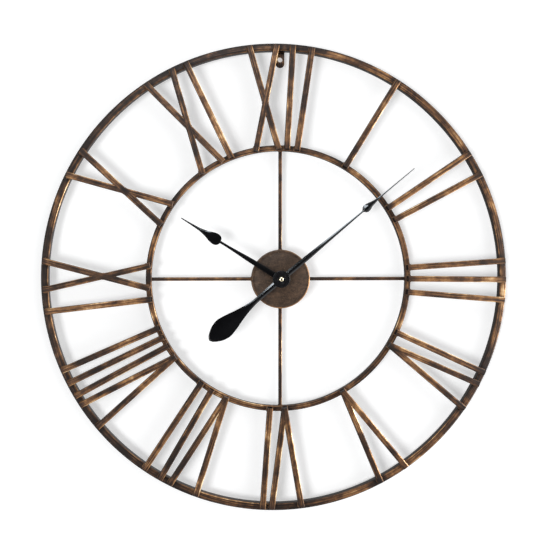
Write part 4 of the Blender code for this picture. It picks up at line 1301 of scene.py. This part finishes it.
def bevelled(made, width, segments=2, **settings):
    """The piece with its edges rounded, as a plain mesh."""
    bevel = made.modifiers.new("edges", "BEVEL")
    bevel.width = width
    bevel.segments = segments
    for key, value in settings.items():
        setattr(bevel, key, value)
    return evaluated(made)


def box_solid(low, high):
    """A closed block between two corners."""
    shape = bmesh.new()
    bmesh.ops.create_cube(shape, size=1.0)
    size = Vector(high) - Vector(low)
    bmesh.ops.scale(shape, vec=size, verts=shape.verts)
    bmesh.ops.translate(shape, vec=(Vector(low) + Vector(high)) / 2, verts=shape.verts)
    data = bpy.data.meshes.new("solid")
    shape.to_mesh(data)
    shape.free()
    return new_object(data)


def movement():
    """The movement's case with its grip ribs and knob collar, its battery, and the parts inside."""
    shell = softened("movement_case_back", 0.0006, 3)
    back = depths("movement_case_back")[0]
    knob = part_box("setting_knob")
    middle = ((knob[0].x + knob[1].x) / 2, (knob[0].z + knob[1].z) / 2)
    low, high = back - 0.0004, back + 0.0003
    collar_loop = rounded_loop([(0.0068, high), (0.0068, low), (0.0059, low), (0.0059, high)], 0.0002, 2)
    case_back = merged(shell, turned("collar", collar_loop, 56, middle))
    piece(case_back, "case_back_moulded", "black_plastic", ["movement_case_back"])
    case_front = softened("movement_case_front", 0.0006, 3)
    piece(case_front, "case_front_moulded", "black_plastic", ["movement_case_front"])
    ribs(back)
    battery()
    for node, finish, width in (
        ("middle_plate", "white_plastic", 0.0001), ("stator", "steel", 0.00008),
        ("coil_core", "steel", 0.00008), ("circuit_board", "green_board", 0.00008),
        ("setting_knob", "black_plastic", 0.00012),
    ):
        body = "setting_knob" if node == "setting_knob" else "frame"
        piece(softened(node, width), node + "_finished", finish, [node], body=body)
    winding()


def rib_tree():
    """Sets a rib along X on every point."""
    g, start, laid = point_tree("case_ribs", (("Rib size", "Vector"),))
    rib = g.add("GeometryNodeMeshCube", {"Size": start["Rib size"]})
    g.put(laid["Instance"], rib.outputs["Mesh"])
    return g.tree


def ribs(back):
    """A row of grip ribs on the case's back, each along X."""
    points = [at(0.012, -0.002 + RIB_PITCH * k, back - 0.0002) for k in range(RIBS)]
    made = grown(
        "ribs", points, rib_tree(), Rib_size=(0.018, 0.0006, 0.0008), Material=FINISHES["black_plastic"]
    )
    piece(bevelled(made, 0.00015), "case_grip_ribs", "black_plastic")


def lathe_along_x(name, profile, z, depth, steps):
    """A body turned about a line along X from a closed loop of (x, radius) points."""
    made = turned(name, [(radius, x) for x, radius in profile], steps)
    for vertex in made.data.vertices:
        across, run, up = vertex.co.x, WALL - vertex.co.y, vertex.co.z
        vertex.co = at(run, z + up, depth + across)
    return outward(made)


def axis_of(node):
    """The height and depth of a node's own line along X."""
    low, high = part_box(node)
    return (low.z + high.z) / 2, WALL - (low.y + high.y) / 2


def battery():
    """The cell: its sleeve, its raised positive cap and its recessed base."""
    low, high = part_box("battery")
    radius = (high.z - low.z) / 2
    z, depth = axis_of("battery")
    left = low.x
    tip = high.x
    shoulder = tip - 0.0012
    sleeve_loop = [
        (left + 0.0004, radius - 0.0006), (left, radius - 0.0003), (left + 0.0003, radius),
        (shoulder - 0.0004, radius), (shoulder - 0.0001, radius - 0.0003),
        (shoulder - 0.0005, radius - 0.0009), (shoulder - 0.0006, 0.0010), (left + 0.0006, 0.0010),
    ]
    sleeve = lathe_along_x("sleeve", sleeve_loop, z, depth, 72)
    piece(sleeve, "battery_sleeve_body", "battery_sleeve", ["battery"])
    cap_loop = [
        (shoulder - 0.0012, 0.0004), (shoulder - 0.0012, radius - 0.0010),
        (shoulder - 0.0002, radius - 0.0010), (shoulder, radius - 0.0016), (shoulder, 0.0030),
        (shoulder + 0.0002, 0.0027), (tip - 0.0002, 0.0026), (tip, 0.0022), (tip, 0.0004),
    ]
    base_loop = [
        (left + 0.0012, 0.0004), (left + 0.0012, radius - 0.0012), (left + 0.0002, radius - 0.0010),
        (left + 0.0003, 0.0050), (left, 0.0046), (left, 0.0004),
    ]
    cap = lathe_along_x("cap", cap_loop, z, depth, 56)
    base = lathe_along_x("base", base_loop, z, depth, 56)
    piece(merged(cap, base), "battery_end_caps", "steel")
    contacts(z, depth)


def contacts(z, depth):
    """The flat positive leaf, and the negative leaf with its tapered spring."""
    low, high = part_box("contact_positive")
    dimple_loop = [
        (low.x + 0.0001, 0.0003), (low.x + 0.0001, 0.0026), (low.x - 0.0002, 0.0018),
        (low.x - 0.0003, 0.0003),
    ]
    positive = merged(box_solid(low, high), lathe_along_x("dimple", dimple_loop, z, depth, 32))
    piece(positive, "contact_positive_leaf", "steel", ["contact_positive"])
    low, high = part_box("contact_negative")
    leaf = box_solid(low, (low.x + 0.0004, high.y, high.z))
    wire = bpy.data.curves.new("spring", "CURVE")
    wire.dimensions = "3D"
    wire.bevel_depth = 0.00022
    wire.bevel_resolution = 2
    wire.use_fill_caps = True
    spline = wire.splines.new("POLY")
    spline.points.add(SPRING_POINTS - 1)
    for k, point in enumerate(spline.points):
        share = k / (SPRING_POINTS - 1)
        turn = math.tau * SPRING_TURNS * share
        reach = 0.0030 - 0.0012 * share
        up = z + reach * math.cos(turn)
        point.co = (*at(low.x + 0.0006 + 0.0011 * share, up, depth + reach * math.sin(turn)), 1)
    spring = merged(leaf, evaluated(new_object(wire)))
    piece(spring, "contact_negative_spring", "steel", ["contact_negative"])


def winding():
    """The coil: rows of wire turns between two bobbin flanges."""
    low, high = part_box("coil")
    z, depth = axis_of("coil")
    left = low.x + 0.0009
    right = high.x - 0.0009
    pitch = (right - left) / WINDING_TURNS
    loop = [(left, 0.0026)]
    for k in range(WINDING_TURNS):
        for share, radius in ((0.15, 0.00295), (0.5, 0.0032), (0.85, 0.00295)):
            loop.append((left + pitch * (k + share), radius))
    loop += [(right, 0.0026), (right, 0.0025), (left, 0.0025)]
    wire = lathe_along_x("wire", loop, z, depth, 40)
    thick = 0.0008
    flanges = [
        box_solid((x, low.y, low.z), (x + thick, high.y, high.z)) for x in (low.x, high.x - thick)
    ]
    piece(wire, "coil_winding", "copper", ["coil"])
    piece(merged(*flanges), "coil_bobbin_flanges", "white_plastic")


def paint_the_rest():
    """CAD nodes whose shape stays get the finish of their slot."""
    for sub in frame["record"]["subparts"]:
        node = NODES[sub["node"]]
        for slot in node.material_slots:
            slot.material = FINISHES[sub["material_slot"]]


# ------------------------------------------------------------------ stage
def one_sided(name, tone):
    """A pale surface that glows a little and is seen from its front only, so it never hides the back."""
    f = Finish(name, Specular_IOR_Level=0.1, Emission_Strength=STAGE_GLOW)
    f.surface(Base_Color=tone, Roughness=0.9, Emission_Color=(1.0, 1.0, 1.0, 1.0))
    clear = f.add("ShaderNodeBsdfTransparent")
    behind = f.add("ShaderNodeNewGeometry").outputs["Backfacing"]
    sides = {"Fac": behind, 1: f.shader.outputs["BSDF"], 2: clear.outputs["BSDF"]}
    pick = f.add("ShaderNodeMixShader", sides)
    f.put(f.tree.nodes["Material Output"].inputs["Surface"], pick.outputs["Shader"])
    return f.material


def plane(name, corners):
    """A backdrop that no light bounces from, and that throws no shadow."""
    made = mesh_object(name, corners, [(0, 1, 2, 3)])
    made.data.materials.append(one_sided(name, STAGE_TONE))
    made.visible_diffuse = False
    made.visible_glossy = False
    made.visible_shadow = False
    return made


def stage():
    """The wall just behind the clock, and the floor below it."""
    far = 4.0
    floor = -1.1
    back = WALL + WALL_STANDOFF
    wall = plane("pale_wall", [(-far, back, floor), (far, back, floor), (far, back, far), (-far, back, far)])
    plane("pale_floor", [(-far, -far, floor), (far, -far, floor), (far, far, floor), (-far, far, floor)])
    return wall


def softbox(name, place, target, size, power, tone=(1, 1, 1), along=(0, 0, 1)):
    """A rectangular light, size = (breadth, length along the given direction)."""
    data = bpy.data.lights.new(name, "AREA")
    data.shape = "RECTANGLE"
    data.energy = power
    data.size, data.size_y = size
    data.color = tone
    made = new_object(data)
    back = (Vector(place) - Vector(target)).normalized()
    across = Vector(along).cross(back).normalized()
    upward = back.cross(across)
    made.rotation_mode = "QUATERNION"
    made.rotation_quaternion = Matrix((across, upward, back)).transposed().to_quaternion()
    made.location = place
    return made


def facing(made, forward):
    """Turns a light or the camera to look along a direction, with its top upwards."""
    made.rotation_mode = "QUATERNION"
    made.rotation_quaternion = Vector(forward).to_track_quat("-Z", "Y")


def soft_room():
    """An even pale room, brighter towards the right and dim in front, where the camera stands."""
    world = bpy.data.worlds.new("soft_room")
    bpy.context.scene.world = world
    world.use_nodes = True
    g = Nodes(world.node_tree)
    direction = g.add("ShaderNodeTexCoord").outputs["Generated"]
    heading = g.add("ShaderNodeSeparateXYZ", {"Vector": direction}).outputs

    def graded(axis, low, high, start, end):
        sockets = {"Value": heading[axis], "From Min": low, "From Max": high, "To Min": start, "To Max": end}
        return g.add("ShaderNodeMapRange", sockets, interpolation_type="SMOOTHSTEP").outputs["Result"]

    shades = {0: graded("X", -0.8, 0.9, 0.35, 1.9), 1: graded("Y", -0.90, -0.50, 0.05, 1.0)}
    glow = g.add("ShaderNodeMath", shades, operation="MULTIPLY").outputs["Value"]
    seen = g.add("ShaderNodeLightPath").outputs["Is Camera Ray"]
    strength = g.add("ShaderNodeMix", {"Factor": seen, "A": glow, "B": 0.95}).outputs["Result"]
    background = world.node_tree.nodes["Background"].inputs
    g.put(background["Strength"], strength)
    g.put(background["Color"], (1.0, 1.0, 1.0, 1.0))


def lights(wall):
    """A low sun from the left for the wall's shadows, and softboxes that light only the clock."""
    sun = bpy.data.lights.new("window", "SUN")
    sun.energy = 1.9
    sun.angle = math.radians(24)
    facing(new_object(sun), (0.75, 1.0, 0.26))
    hand = (math.sin(math.radians(MINUTE_ANGLE)), 0, math.cos(math.radians(MINUTE_ANGLE)))
    cool = (0.85, 0.93, 1.0)
    boxes = (
        softbox("right_softbox", (1.6, -0.45, -0.1), (0, 0, 0), (0.8, 0.8), 40),
        softbox("upper_softbox", (-0.188, -1.17, 1.011), (0.096, 0, 0.08), (0.8, 0.34), 11, cool, hand),
        softbox("small_softbox", (-0.544, -1.2, 0.715), (-0.023, 0, -0.019), (0.5, 0.09), 2.6, cool, hand),
        softbox("rear_softbox", (-1.0, 1.6, 1.2), (0, 0, 0), (1.2, 1.2), 12),
    )
    without_wall = bpy.data.collections.new("without_wall")
    without_wall.objects.link(wall)
    without_wall.collection_objects[0].light_linking.link_state = "EXCLUDE"
    for box in boxes:
        box.light_linking.receiver_collection = without_wall
    soft_room()


def camera():
    """A little left of the middle, a metre in front, looking almost straight at the face."""
    data = bpy.data.cameras.new("view")
    data.sensor_width = 36.0
    data.lens = 39.63
    data.clip_start = 0.01
    made = new_object(data)
    made.location = (-0.0915, -1.0174, 0.0343)
    facing(made, (0.0760, 0.9968, -0.0227))
    bpy.context.scene.camera = made
    bpy.context.scene.view_settings.view_transform = "Standard"


# ------------------------------------------------------------------ the clock
paint_the_rest()
rings()
plain_bars()
welded_pairs()
spokes()
hanging_eye()
lay_beads()
hub_pan()
fixings()
hands()
cap_nut()
movement()
lights(stage())
camera()
